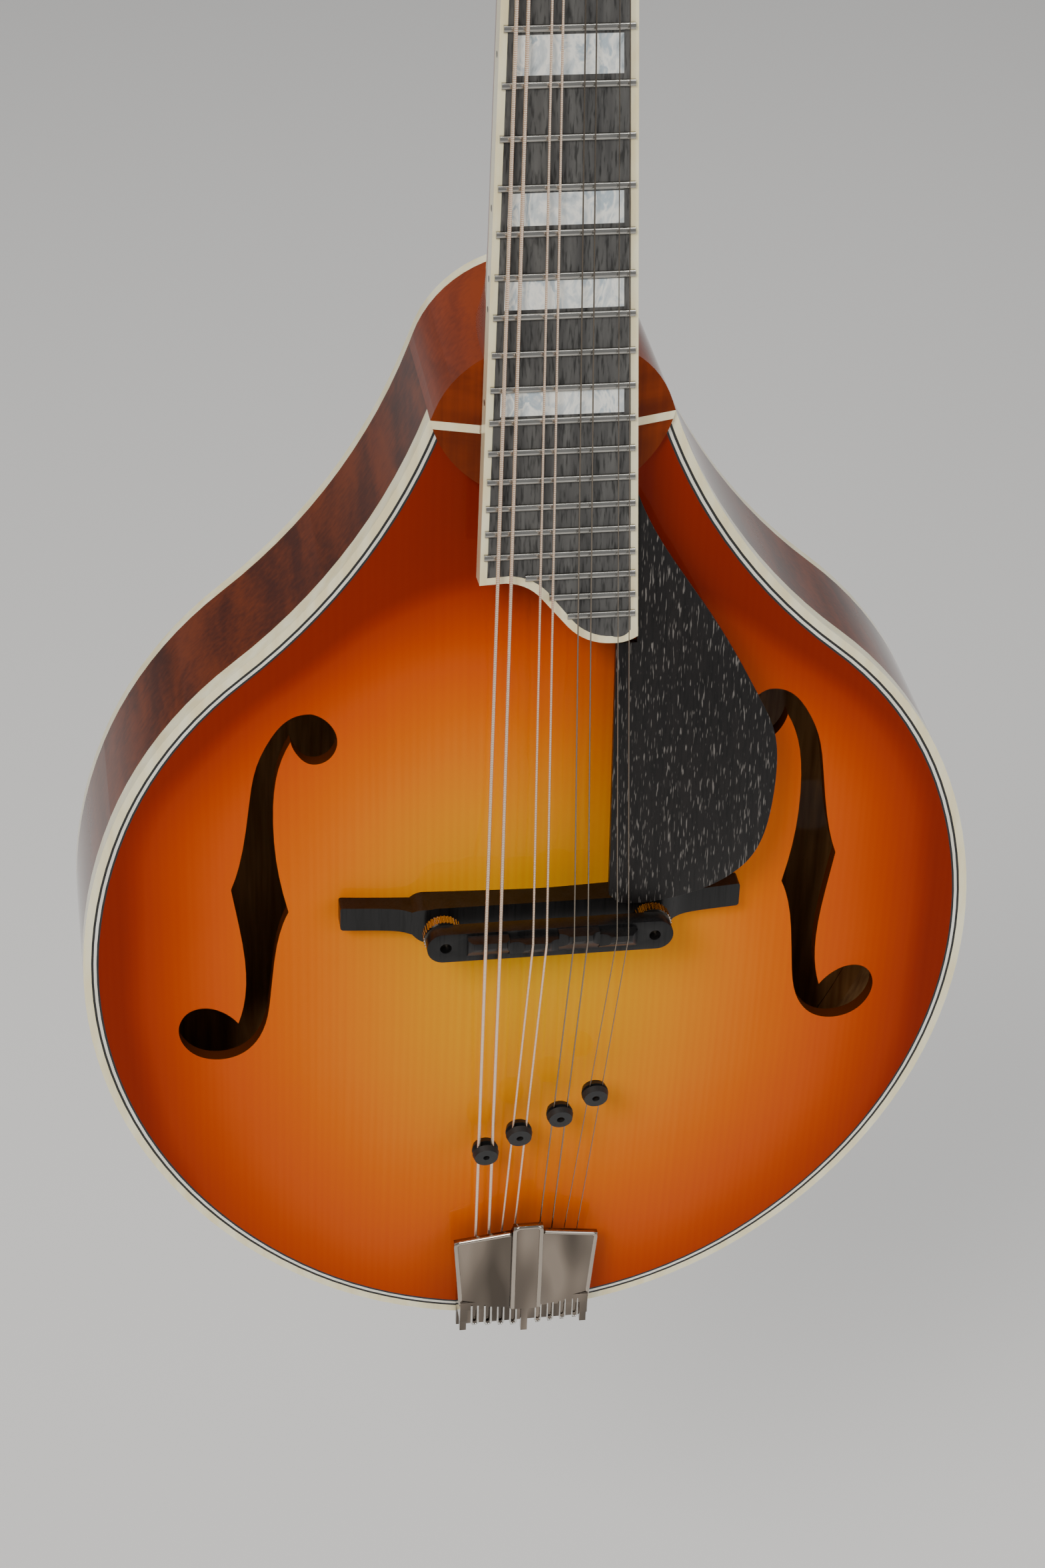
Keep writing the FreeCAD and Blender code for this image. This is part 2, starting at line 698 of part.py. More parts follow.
nut_low = board_under
nut_profile = [(-14.3, nut_low), (-14.3, -size("nut_rise") + 0.4), (-13.9, -size("nut_rise")),
               (13.9, -size("nut_rise")), (14.3, -size("nut_rise") + 0.4), (14.3, nut_low)]
nut_shape = prism(polygon([(x, y, nut_place) for x, y in nut_profile]),
                  Vector(0, 0, size("nut_thickness")))
nut_blank = solid("nut_blank", nut_shape, neck_frame)
slots = []
for label, pair in courses.items():
    for string in pair:
        width = 2 * string[3] + 0.1
        slots.append(Part.makeBox(width, 2, 10, Vector(string[0] - width / 2, -nut_clear - 1.95,
                                                       nut_place - 2)))
nut_slots = solid("nut_slots", Part.makeCompound(slots), neck_frame)
string_room = []
for radius, points in string_paths.values():
    string_room.append(round_path(points[1:], radius + 0.05))
rooms = solid("string_rooms", string_room[0].fuse(string_room[1:]))
keep(cut("nut_cut", nut_blank, [nut_slots, rooms]), "nut")

string_nodes = {}
for label in courses:
    runs = [round_path(points, radius) for (name, post), (radius, points) in string_paths.items()
            if name == label]
    string_nodes[label] = solid(label + "_runs", Part.makeCompound(runs))

# ---------------------------------------------------------------- rod inside the neck
rod = Part.makeCylinder(rod_radius, rod_end - rod_low, Vector(0, board_under + rod_radius, rod_low),
                        Vector(0, 0, 1))
channel_high = head_start - 2.0
rod_bore = solid("rod_bore", Part.makeCylinder(rod_radius, 10,
                                               Vector(0, board_under + rod_radius, channel_high - 1),
                                               Vector(0, 0, 1)), neck_frame)
neck_piece = next(item for item in pieces if item.Label == "neck")
pieces.remove(neck_piece)
neck_piece.Label = "neck_carved"
keep(cut("neck_bored", neck_piece, [rod_bore, nut_blank]), "neck")
keep(solid("rod", rod, neck_frame), "truss_rod")
hexagon = [(3.3 * math.cos(math.radians(60 * k)), board_under + rod_radius
            + 3.3 * math.sin(math.radians(60 * k)), head_start + 2.0) for k in range(6)]
rod_nut = prism(polygon(hexagon), Vector(0, 0, 9)).cut(
    Part.makeCylinder(rod_radius + gap, 20, Vector(0, board_under + rod_radius, head_start),
                      Vector(0, 0, 1)))
keep(solid("rod_nut", rod_nut, neck_frame), "truss_rod_nut")

# ---------------------------------------------------------------- head fittings
overlay_edge = 2.0
overlay_band = prism(head_wire(0, 0), Vector(0, overlay_deep, 0)).cut(
    prism(head_wire(overlay_edge, -1), Vector(0, overlay_deep + 2, 0)))
keep(cut("head_band_cut", solid("head_band", overlay_band, head_frame), [nut_blank]),
     "headstock_binding")
overlay = solid("overlay", prism(head_wire(overlay_edge, 0), Vector(0, overlay_deep, 0)), head_frame)
pocket_top = solid("pocket_top", Part.makeBox(10, 10, 24, Vector(-5, -2, 0)), head_frame)
keep(cut("overlay_cut", overlay, [bores, pocket_top, nut_blank]), "headstock_overlay")

cover_points = [(-6.0, -0.001, 1.5), (6.0, -0.001, 1.5), (7.6, -0.001, 9), (9.0, -0.001, 20),
                (5.5, -0.001, 29), (0, -0.001, 36), (-5.5, -0.001, 29), (-9.0, -0.001, 20),
                (-7.6, -0.001, 9)]
rod_cover = prism(polygon(cover_points), Vector(0, -1.5, 0))
screw_spots = [(0, 31.0), (-7.2, 17.0), (7.2, 17.0)]
screw_holes = [Part.makeCylinder(0.8, 12, Vector(x, -6, z), Vector(0, 1, 0)) for x, z in screw_spots]
cover_holes = solid("cover_holes", Part.makeCompound(screw_holes), head_frame)
keep(cut("rod_cover_cut", solid("rod_cover", rod_cover, head_frame), [cover_holes]),
     "truss_rod_cover")


def round_screw(x, y, z, direction, shank, head, length):
    point = Vector(x, y, z)
    screw = Part.makeCylinder(shank, length, point, direction)
    ball = head * 1.25
    drop = math.sqrt(ball ** 2 - head ** 2)
    dome = Part.makeSphere(ball, point + direction * drop)
    dome = dome.common(Part.makeCylinder(head, ball, point, direction * -1))
    return screw.fuse(dome)


cover_screws = [round_screw(x, -1.5, z, Vector(0, 1, 0), 0.8, 1.5, 1.45) for x, z in screw_spots]
keep(solid("cover_screws", Part.makeCompound(cover_screws), head_frame), "truss_cover_screws")

head_back = overlay_deep + head_thick
plate_back = head_back + size("plate_thickness")
shaft_radius = size("shaft_radius")
worm_radius = size("worm_radius")
gear_radius = size("gear_radius")
worm_shift = gear_radius + worm_radius + 0.35
gear_low = plate_back + 0.9
gear_high = gear_low + 3.4
worm_depth = (gear_low + gear_high) / 2
ear_half = 1.2
ear_places = (post_offset - 6.4, post_offset + 7.2)
bushings = []
plate_screw_shapes = []
for side, word in ((-1, "bass"), (1, "treble")):
    plate = Part.makeBox(12, size("plate_thickness"), 92,
                         Vector(side * post_offset - 6, head_back, post_places[0] - 11.5))
    ears = []
    for place in post_places:
        for offset in ear_places:
            ear = Part.makeBox(2 * ear_half, worm_depth + shaft_radius + 1.6 - head_back, 6.4,
                               Vector(side * offset - ear_half, head_back,
                                      place + worm_shift - 3.2))
            ears.append(ear)
    plate = plate.fuse(ears)
    holes = []
    for place in post_places:
        holes.append(Part.makeCylinder(post_radius + gap, 20, Vector(side * post_offset, 5, place),
                                       Vector(0, 1, 0)))
        holes.append(Part.makeCylinder(shaft_radius + gap, 40,
                                       Vector(side * post_offset - 20, worm_depth,
                                              place + worm_shift), Vector(1, 0, 0)))
        bushing = Part.makeCylinder(post_radius + 1, 8, Vector(side * post_offset, -1.2, place),
                                    Vector(0, 1, 0))
        collar = Part.makeCylinder(post_radius + 2.2, 1.2, Vector(side * post_offset, -1.2, place),
                                   Vector(0, 1, 0))
        sleeve = Part.makeCylinder(post_radius + gap, 12, Vector(side * post_offset, -3, place),
                                   Vector(0, 1, 0))
        bushings.append(bushing.fuse(collar).cut(sleeve))
    for place in post_places:
        spot = Vector(side * post_offset, plate_back, place - 9.0)
        holes.append(Part.makeCylinder(0.9, 4, Vector(spot.x, head_back - 1, spot.z),
                                       Vector(0, 1, 0)))
        plate_screw_shapes.append(round_screw(spot.x, spot.y, spot.z, Vector(0, -1, 0), 0.9, 1.8,
                                              1.15))
    plate = plate.cut(holes[0].fuse(holes[1:]))
    keep(solid("plate_" + word, plate, head_frame), "tuner_plate_" + word)
keep(solid("plate_screw_set", Part.makeCompound(plate_screw_shapes), head_frame), "plate_screws")
keep(solid("bushing_set", Part.makeCompound(bushings), head_frame), "post_bushings")

gear_teeth = 16
post_shapes = {}
for side, word in ((-1, "bass"), (1, "treble")):
    for step, place in enumerate(post_places):
        centre = Vector(side * post_offset, 0, place)
        post_low = -14.0
        post = Part.makeCylinder(post_radius, gear_high - post_low, centre + Vector(0, post_low, 0),
                                 Vector(0, 1, 0))
        knob = Part.makeCone(post_radius, post_radius - 0.9, 1.0, centre + Vector(0, post_low, 0),
                             Vector(0, -1, 0))
        eye = Part.makeCylinder(0.8, 10, centre + Vector(-5, post_low + 3.2, 0), Vector(1, 0, 0))
        gear = Part.makeCylinder(gear_radius, gear_high - gear_low, centre + Vector(0, gear_low, 0),
                                 Vector(0, 1, 0))
        notches = []
        for tooth in range(gear_teeth):
            turn = 2 * math.pi * tooth / gear_teeth
            spot = centre + Vector(math.cos(turn), 0, math.sin(turn)) * gear_radius
            notches.append(Part.makeCylinder(0.48, 6, spot + Vector(0, gear_low - 1, 0),
                                             Vector(0, 1, 0)))
        gear = gear.cut(notches[0].fuse(notches[1:]))
        screw_head = Part.makeCylinder(2.0, 1.0, centre + Vector(0, gear_high, 0), Vector(0, 1, 0))
        shape = post.fuse([knob, gear, screw_head]).cut(eye)
        keep(solid("post_%s_%d" % (word, step + 1), shape, head_frame),
             "tuner_post_%s_%d" % (word, step + 1))

        axis = Vector(side, 0, 0)
        inner = Vector(side * (ear_places[0] - 3.0), worm_depth, place + worm_shift)
        reach = 37.5
        key = Part.makeCylinder(shaft_radius, reach - ear_places[0] + 3.0, inner, axis)
        worm_start = ear_places[0] + ear_half + 0.3
        worm_stop = ear_places[1] - ear_half - 0.3
        worm = Part.makeCylinder(worm_radius, worm_stop - worm_start,
                                 Vector(side * worm_start, worm_depth, place + worm_shift), axis)
        rings = []
        for turn in range(5):
            spot = worm_start + 1.4 + turn * 2.0
            rings.append(Part.makeTorus(worm_radius + 0.15, 0.55,
                                        Vector(side * spot, worm_depth, place + worm_shift), axis))
        worm = worm.cut(rings[0].fuse(rings[1:]))
        stop = Part.makeCylinder(shaft_radius + 0.9, 0.8,
                                 Vector(side * (ear_places[0] - 2.1), worm_depth,
                                        place + worm_shift), axis)
        collar = Part.makeCylinder(2.6, 1.6, Vector(side * (ear_places[1] + ear_half + 0.3),
                                                    worm_depth, place + worm_shift), axis)
        neck_ring = Part.makeCylinder(2.5, 2.6, Vector(side * (reach - 2.2), worm_depth,
                                                       place + worm_shift), axis)
        knob_shape = Part.makeSphere(7.6, Vector(0, 0, 0))
        knob_shape.rotate(Vector(0, 0, 0), Vector(0, 0, 1), 90)
        squeeze = FreeCAD.Matrix()
        squeeze.scale(0.98, 0.5, 0.92)
        knob_shape = knob_shape.transformGeometry(squeeze)
        knob_shape.translate(Vector(side * (reach + 7.0), worm_depth, place + worm_shift))
        parts = [worm, stop, collar, neck_ring, knob_shape]
        keep(solid("key_%s_%d" % (word, step + 1), key.fuse(parts), head_frame),
             "tuner_key_%s_%d" % (word, step + 1))

# ---------------------------------------------------------------- bridge
bridge_z = size("bridge_height")


def slot_prism(half, width, low, high):
    radius = width / 2
    edges = [
        Part.LineSegment(Vector(-half + radius, low, bridge_z - radius),
                         Vector(half - radius, low, bridge_z - radius)),
        Part.Arc(Vector(half - radius, low, bridge_z - radius), Vector(half, low, bridge_z),
                 Vector(half - radius, low, bridge_z + radius)),
        Part.LineSegment(Vector(half - radius, low, bridge_z + radius),
                         Vector(-half + radius, low, bridge_z + radius)),
        Part.Arc(Vector(-half + radius, low, bridge_z + radius), Vector(-half, low, bridge_z),
                 Vector(-half + radius, low, bridge_z - radius)),
    ]
    return prism(Part.Wire([edge.toShape() for edge in edges]), Vector(0, high - low, 0))


def rim_rise(x):
    return -half_depth - arch_height(x, bridge_z)


half_bridge = size("bridge_half")
wing_rise = size("wing_rise")
base_rise = size("base_rise")
stations = [(half_bridge + 1, wing_rise), (50, wing_rise), (44, wing_rise + 0.1),
            (39, wing_rise + 1.0), (35.5, base_rise - 0.9), (31, base_rise - 0.9)]
right_line = [Vector(x, rim_rise(x) - rise, bridge_z - 8) for x, rise in stations]
right_line.append(Vector(24, right_line[-1].y, bridge_z - 8))
base_top = right_line[-1].y
left_line = [Vector(-point.x, point.y, point.z) for point in reversed(right_line)]
crest = Part.BSplineCurve()
crest.interpolate(right_line[:-1])
crest_left = Part.BSplineCurve()
crest_left.interpolate(left_line[1:])
lid = [crest_left.toShape(), Part.LineSegment(left_line[1], left_line[0]).toShape()]
profile = Part.Wire(Part.__sortEdges__([
    crest.toShape(), crest_left.toShape(),
    Part.LineSegment(right_line[-2], left_line[1]).toShape(),
    Part.LineSegment(right_line[0], Vector(right_line[0].x, -20, bridge_z - 8)).toShape(),
    Part.LineSegment(left_line[-1], Vector(left_line[-1].x, -20, bridge_z - 8)).toShape(),
    Part.LineSegment(Vector(left_line[-1].x, -20, bridge_z - 8),
                     Vector(right_line[0].x, -20, bridge_z - 8)).toShape(),
]))
base_profile = prism(profile, Vector(0, 0, 16))
wing_wide = size("bridge_wing")
wings = Part.makeBox(2 * half_bridge, 45, wing_wide,
                     Vector(-half_bridge, -60, bridge_z - wing_wide / 2))
corners = [edge for edge in wings.Edges
           if abs(edge.Vertexes[0].Point.y - edge.Vertexes[1].Point.y) > 1]
wings = wings.makeFillet(0.8, corners)
base_plan = wings.fuse(slot_prism(38.5, size("bridge_middle"), -60, -15))
base_blank = solid("base_blank", base_profile.common(base_plan))
post_spots = [Vector(side * size("bridge_post_offset"), 0, bridge_z) for side in (-1, 1)]
rod_size = size("bridge_post_radius")
post_low = base_top + 5.5
post_high = size("saddle_shoulder") + 2.8
stems = [Part.makeCylinder(rod_size, post_low - post_high, spot + Vector(0, post_high, 0),
                           Vector(0, 1, 0)) for spot in post_spots]
stem_pair = solid("stem_pair", Part.makeCompound(stems))
keep(cut("bridge_foot", base_blank, [below_front, stem_pair]), "bridge_base")
keep(stem_pair, "bridge_posts")

saddle_bottom = size("saddle_bottom")
saddle_shoulder = size("saddle_shoulder")
saddle_top = size("saddle_top")
saddle_body = slot_prism(size("saddle_half"), size("saddle_width"), saddle_shoulder, saddle_bottom)
crests = []
crest_spans = [(-23.4, -12.0, 0.0), (-12.0, 1.8, -1.1), (1.8, 13.2, 0.6), (13.2, 24.0, -0.4)]
for left, right, shift in crest_spans:
    low_z = bridge_z - size("saddle_width") / 2 + 1.6
    high_z = size("string_line") + 0.9 + shift
    section = [(left, saddle_shoulder + 1, low_z), (left, saddle_shoulder, low_z),
               (left, saddle_top + 0.9, high_z - 3.4), (left, saddle_top, high_z - 1.9),
               (left, saddle_top, high_z), (left, saddle_shoulder + 1, high_z)]
    crests.append(prism(polygon(section), Vector(right - left, 0, 0)))
crest_block = crests[0].fuse(crests[1:])
end_slopes = [prism(polygon([(side * 25.0, saddle_shoulder, bridge_z - 9),
                             (side * 20.9 + side * 1.2, saddle_top - 0.1, bridge_z - 9),
                             (side * 30.0, saddle_top - 0.1, bridge_z - 9),
                             (side * 30.0, saddle_shoulder, bridge_z - 9)]), Vector(0, 0, 20))
              for side in (-1, 1)]
scoops = [Part.makeCylinder(3.0, 20, Vector(x, saddle_top - 1.4, bridge_z - 10), Vector(0, 0, 1))
          for x in (-10.4, 1.85, 13.6)]
crest_block = crest_block.cut(end_slopes[0].fuse(end_slopes[1:] + scoops))
saddle_blank = solid("saddle_blank", saddle_body.fuse(crest_block))
socket_shapes = [Part.makeCylinder(rod_size + gap, 20, spot + Vector(0, saddle_shoulder - 8, 0),
                                   Vector(0, 1, 0)) for spot in post_spots]
sockets = solid("saddle_sockets", Part.makeCompound(socket_shapes))
keep(cut("saddle_drilled", saddle_blank, [sockets, rooms]), "bridge_saddle")

wheel_radius = size("wheel_radius")
wheel_thick = size("wheel_thickness")
for spot, word in zip(post_spots, ("bass", "treble")):
    disc = Part.makeCylinder(wheel_radius, wheel_thick,
                             spot + Vector(0, saddle_bottom + 0.05, 0), Vector(0, 1, 0))
    nicks = []
    for turn in range(36):
        angle = 2 * math.pi * turn / 36
        nick = spot + Vector(math.cos(angle), 0, math.sin(angle)) * (wheel_radius + 0.12)
        nicks.append(Part.makeCylinder(0.36, 6, nick + Vector(0, saddle_bottom - 1, 0),
                                       Vector(0, 1, 0)))
    bore = Part.makeCylinder(rod_size + gap, 10, spot + Vector(0, saddle_bottom - 2, 0),
                             Vector(0, 1, 0))
    keep(solid("wheel_" + word, disc.cut(nicks[0].fuse(nicks[1:] + [bore]))), "thumbwheel_" + word)

# ---------------------------------------------------------------- tailpiece
cover_thick = size("cover_thickness")
outer_line = [(-22.2, -33.2), (-4.9, -35.6), (-4.5, -36.8), (4.5, -36.8), (4.9, -35.6),
              (22.2, -33.2)]
inner_line = [(x, y + cover_thick) for x, y in reversed(outer_line)]
cover_section = prism(polygon([(x, y, 5) for x, y in outer_line + inner_line]), Vector(0, 0, 60))
cover_plan = [(-19.9, -45, 18.4), (-21.9, -45, 43.6), (-4.9, -45, 47.9), (-4.4, -45, 51.3),
              (4.4, -45, 51.3), (4.9, -45, 47.9), (21.9, -45, 43.6), (19.9, -45, 18.4)]
cover = cover_section.common(prism(polygon(cover_plan), Vector(0, 25, 0)))
fingers = []
for x in (-18.6, 0.0, 18.6):
    fingers.append(Part.makeBox(2.0, cover_thick + 0.4, 11.0,
                                Vector(x - 1.0, -33.0 - 2.2 * (1 - abs(x) / 19.9), 8.2)))
hook_columns = sorted(string[2] for pair in courses.values() for string in pair)
for x in hook_columns:
    fingers.append(Part.makeBox(1.2, cover_thick, 8.4,
                                Vector(x - 0.6, -33.4 - 1.9 * (1 - abs(x) / 19.9), 10.6)))
saddle_bar = Part.makeBox(39.4, 1.6, 3.2, Vector(-19.7, -34.2, 17.0))
foot = Part.makeBox(39.4, 1.9, 15.6, Vector(-19.7, -26.2, 4.4))
tongue = Part.makeBox(24, 35.0, 2.0, Vector(-12, -26.2, 4.4))
walls = [Part.makeBox(2.3, 9.5, 8.0, Vector(x, -34.0, 12.4)) for x in (-19.7, 17.4)]
tail_parts = [saddle_bar, foot, tongue] + walls + fingers
tail_cast = cover.fuse(tail_parts)
clear_edge = body_prism(0, -half_depth, 30, neck_end)
pin_hole = Part.makeCylinder(3.0, 10, Vector(0, 0, 0), Vector(0, 0, 1))
tail_spots = [Vector(-8, -16, 0), Vector(8, -16, 0), Vector(0, -10, 0)]
tail_holes = [Part.makeCylinder(1.2, 12, spot, Vector(0, 0, 1)) for spot in tail_spots]
tail_cast = tail_cast.cut(clear_edge.fuse([pin_hole] + tail_holes))
keep(solid("tail_casting", tail_cast), "tailpiece")

tail_screws = []
for spot in tail_spots:
    shank = Part.makeCylinder(1.2, 1.95, spot + Vector(0, 0, 4.4), Vector(0, 0, 1))
    tail_screws.append(shank.fuse(Part.makeCone(1.4, 2.3, 0.9, spot + Vector(0, 0, 3.5),
                                                Vector(0, 0, 1))))
keep(solid("tail_screw_set", Part.makeCompound(tail_screws)), "tailpiece_screws")

button_half = size("button_thickness") / 2
button_head = Part.makeCylinder(size("button_radius"), 2 * button_half,
                                Vector(0, 0, -button_half), Vector(0, 0, 1))
button_waist = Part.makeCone(5.0, 3.6, 4.4 - button_half, Vector(0, 0, button_half),
                             Vector(0, 0, 1))
button_stem = Part.makeCylinder(3.0, 22, Vector(0, 0, 4.0), Vector(0, 0, 1))
keep(solid("button", button_head.fuse([button_waist, button_stem])), "strap_button")

# ---------------------------------------------------------------- dampers on the strings
grommets = []
damper_heights = {"strings_g": 84.0, "strings_d": 91.4, "strings_a": 98.4, "strings_e": 106.6}
for label, height in damper_heights.items():
    spots = []
    direction = Vector(0, 0, 0)
    for (name, post), (radius, points) in string_paths.items():
        if name != label:
            continue
        run = points[2] - points[1]
        spots.append(points[1] + run * ((height - points[1].z) / run.z))
        direction += run
    middle = (spots[0] + spots[1]) * 0.5
    spread = abs(spots[0].x - spots[1].x) / 2
    radius = courses[label][0][3]
    outward = direction.cross(Vector(1, 0, 0)).normalize()
    groove = spread - radius - 0.05
    core = Part.makeCylinder(groove, 2 * radius + 0.6, middle - outward * (radius + 0.3), outward)
    disc = size("damper_radius")
    lips = []
    for way in (-1, 1):
        start = middle + outward * way * (radius + 0.3)
        lips.append(Part.makeCone(disc, disc - 0.5, 1.7, start, outward * way))
    hole = Part.makeCylinder(min(groove - 0.5, 1.2), 10, middle - outward * 5, outward)
    grommets.append(core.fuse(lips).cut(hole))
keep(solid("damper_set", Part.makeCompound(grommets)), "string_dampers")

# ---------------------------------------------------------------- pickguard
guard_frame = Placement(Vector(0, -38.4, 300.0), Rotation(Vector(1, 0, 0), -size("guard_angle")))
guard_thick = size("guard_thickness")
guard_edge = [(21.0, -0.5), (28.0, -14.9), (39.4, -32.4), (49.2, -48.5), (56.2, -61.7),
              (61.1, -72.9), (62.3, -83.0), (61.6, -95.4), (59.6, -105.5), (56.2, -112.3),
              (50.3, -117.6), (44.6, -120.6), (35.7, -123.2), (27.9, -124.4), (19.4, -123.8)]
shore = Part.BSplineCurve()
shore.interpolate([Vector(x, 0, z) for x, z in guard_edge])
lip = 0.5
inner_corner = Vector(board_half(treble_end) + lip, 0, treble_end + 22 - 1.5)
guard_sides = [
    (Vector(19.4, 0, -123.8), Vector(16.9, 0, -121.2)),
    (Vector(16.9, 0, -121.2), Vector(16.4, 0, -43.2)),
    (Vector(16.4, 0, -43.2), Vector(inner_corner.x, 0, -43.2)),
    (Vector(inner_corner.x, 0, -43.2), Vector(board_half(-20) + lip, 0, -0.5)),
    (Vector(board_half(-20) + lip, 0, -0.5), Vector(21.0, 0, -0.5)),
]
guard_lines = [Part.LineSegment(a, b).toShape() for a, b in guard_sides if (a - b).Length > 1e-6]
guard_wire = Part.Wire(Part.__sortEdges__([shore.toShape()] + guard_lines))
keep(solid("guard", prism(guard_wire, Vector(0, guard_thick, 0)), guard_frame), "pickguard")
prop = solid("guard_prop_blank", Part.makeBox(8, 30, 6, Vector(22, guard_thick, -42)), guard_frame)
keep(cut("guard_prop", prop, [below_front]), "pickguard_support")

for label in courses:
    keep(string_nodes[label], label)

# ---------------------------------------------------------------- checks and export
doc.recompute()
for item in doc.Objects:
    if "Invalid" in item.State or "Error" in item.State:
        raise RuntimeError("%s failed: %s" % (item.Name, item.State))
for item in pieces:
    shape = item.Shape
    if shape.isNull() or not shape.isValid() or not shape.Solids:
        raise RuntimeError("%s has no valid shape" % item.Label)
for item in pieces:
    item.Shape.exportStep("parts/%s.step" % item.Label)
    print("%-24s %2d solid(s) %10.1f mm3" % (item.Label, len(item.Shape.Solids), item.Shape.Volume))
print(len(pieces), "pieces")
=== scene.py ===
import math
import bmesh
import bpy
from mathutils import Matrix, Vector


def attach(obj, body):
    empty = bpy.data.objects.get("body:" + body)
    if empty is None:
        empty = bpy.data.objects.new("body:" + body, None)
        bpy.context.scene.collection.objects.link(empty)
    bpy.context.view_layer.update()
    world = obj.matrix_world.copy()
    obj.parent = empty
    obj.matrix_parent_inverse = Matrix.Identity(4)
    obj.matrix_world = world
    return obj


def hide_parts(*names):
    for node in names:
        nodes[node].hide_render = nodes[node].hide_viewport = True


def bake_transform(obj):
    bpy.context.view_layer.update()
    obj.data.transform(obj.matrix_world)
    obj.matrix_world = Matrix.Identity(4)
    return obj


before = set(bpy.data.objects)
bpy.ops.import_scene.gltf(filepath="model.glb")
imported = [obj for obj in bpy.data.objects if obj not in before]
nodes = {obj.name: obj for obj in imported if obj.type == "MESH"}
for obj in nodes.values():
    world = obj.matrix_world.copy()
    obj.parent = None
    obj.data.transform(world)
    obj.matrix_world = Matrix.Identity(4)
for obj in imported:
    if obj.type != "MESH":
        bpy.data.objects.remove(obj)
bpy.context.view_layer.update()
print("frame loaded:", len(nodes), "pieces")

# small helpers for building materials


def srgb(red, green, blue):
    return tuple((v / 255 / 12.92) if v <= 10 else ((v / 255 + 0.055) / 1.055) ** 2.4
                 for v in (red, green, blue))


def newMaterial(name):
    material = bpy.data.materials.new(name)
    material.use_nodes = True
    tree = material.node_tree
    return material, tree, tree.nodes["Principled BSDF"]


def addNode(tree, kind, **settings):
    node = tree.nodes.new(kind)
    for key, value in settings.items():
        setattr(node, key, value)
    return node


def mathNode(tree, operation, first, second=0.5):
    node = addNode(tree, "ShaderNodeMath", operation=operation)
    for socket, value in zip(node.inputs, (first, second)):
        if isinstance(value, (int, float)):
            socket.default_value = value
        else:
            tree.links.new(value, socket)
    return node.outputs[0]


def objectCoords(tree, scale=(1, 1, 1)):
    coords = addNode(tree, "ShaderNodeTexCoord")
    mapping = addNode(tree, "ShaderNodeMapping")
    mapping.inputs["Scale"].default_value = scale
    tree.links.new(coords.outputs["Object"], mapping.inputs["Vector"])
    return mapping.outputs["Vector"]


def noiseNode(tree, scale, detail=3.0, stretch=(1, 1, 1), distortion=0.0):
    noise = addNode(tree, "ShaderNodeTexNoise")
    noise.inputs["Scale"].default_value = scale
    noise.inputs["Detail"].default_value = detail
    noise.inputs["Distortion"].default_value = distortion
    tree.links.new(objectCoords(tree, stretch), noise.inputs["Vector"])
    return noise.outputs["Fac"]


def rampNode(tree, factor, stops, mode="LINEAR"):
    ramp = addNode(tree, "ShaderNodeValToRGB")
    ramp.color_ramp.interpolation = mode
    while len(ramp.color_ramp.elements) < len(stops):
        ramp.color_ramp.elements.new(0.5)
    for element, (place, colour) in zip(ramp.color_ramp.elements, stops):
        element.position = place
        element.color = (*colour, 1.0)
    tree.links.new(factor, ramp.inputs["Fac"])
    return ramp.outputs["Color"]


def mixColours(tree, factor, first, second, blend="MIX"):
    mix = addNode(tree, "ShaderNodeMix", data_type="RGBA", blend_type=blend)
    colourSockets = (mix.inputs[0], mix.inputs[6], mix.inputs[7])  # factor, then the two colours
    for socket, value in zip(colourSockets, (factor, first, second)):
        if isinstance(value, (int, float)):
            socket.default_value = value
        elif isinstance(value, tuple):
            socket.default_value = (*value, 1.0)
        else:
            tree.links.new(value, socket)
    return mix.outputs[2]


def addBump(tree, shader, height, strength, distance):
    bump = addNode(tree, "ShaderNodeBump")
    bump.inputs["Strength"].default_value = strength
    bump.inputs["Distance"].default_value = distance
    tree.links.new(height, bump.inputs["Height"])
    tree.links.new(bump.outputs["Normal"], shader.inputs["Normal"])


lacquer = {"specular": 0.03, "coat": 1.0, "coatIndex": 1.16}


def addLacquer(shader, roughness, coatRoughness):
    shader.inputs["Roughness"].default_value = roughness
    shader.inputs["Specular IOR Level"].default_value = lacquer["specular"]
    shader.inputs["Coat Weight"].default_value = lacquer["coat"]
    shader.inputs["Coat IOR"].default_value = lacquer["coatIndex"]
    shader.inputs["Coat Roughness"].default_value = coatRoughness


# the inside of the sound box is bare wood, and the sawn walls of the f-holes are stained dark
boxInside = {"middle": (0.0, 0.0, 0.15), "ribsInward": -0.006, "wallLean": 0.35,
             "fibreScale": 420.0, "wallStain": (0.085, 0.018, 0.003), "woodDark": srgb(140, 92, 50),
             "woodLight": srgb(190, 138, 84)}


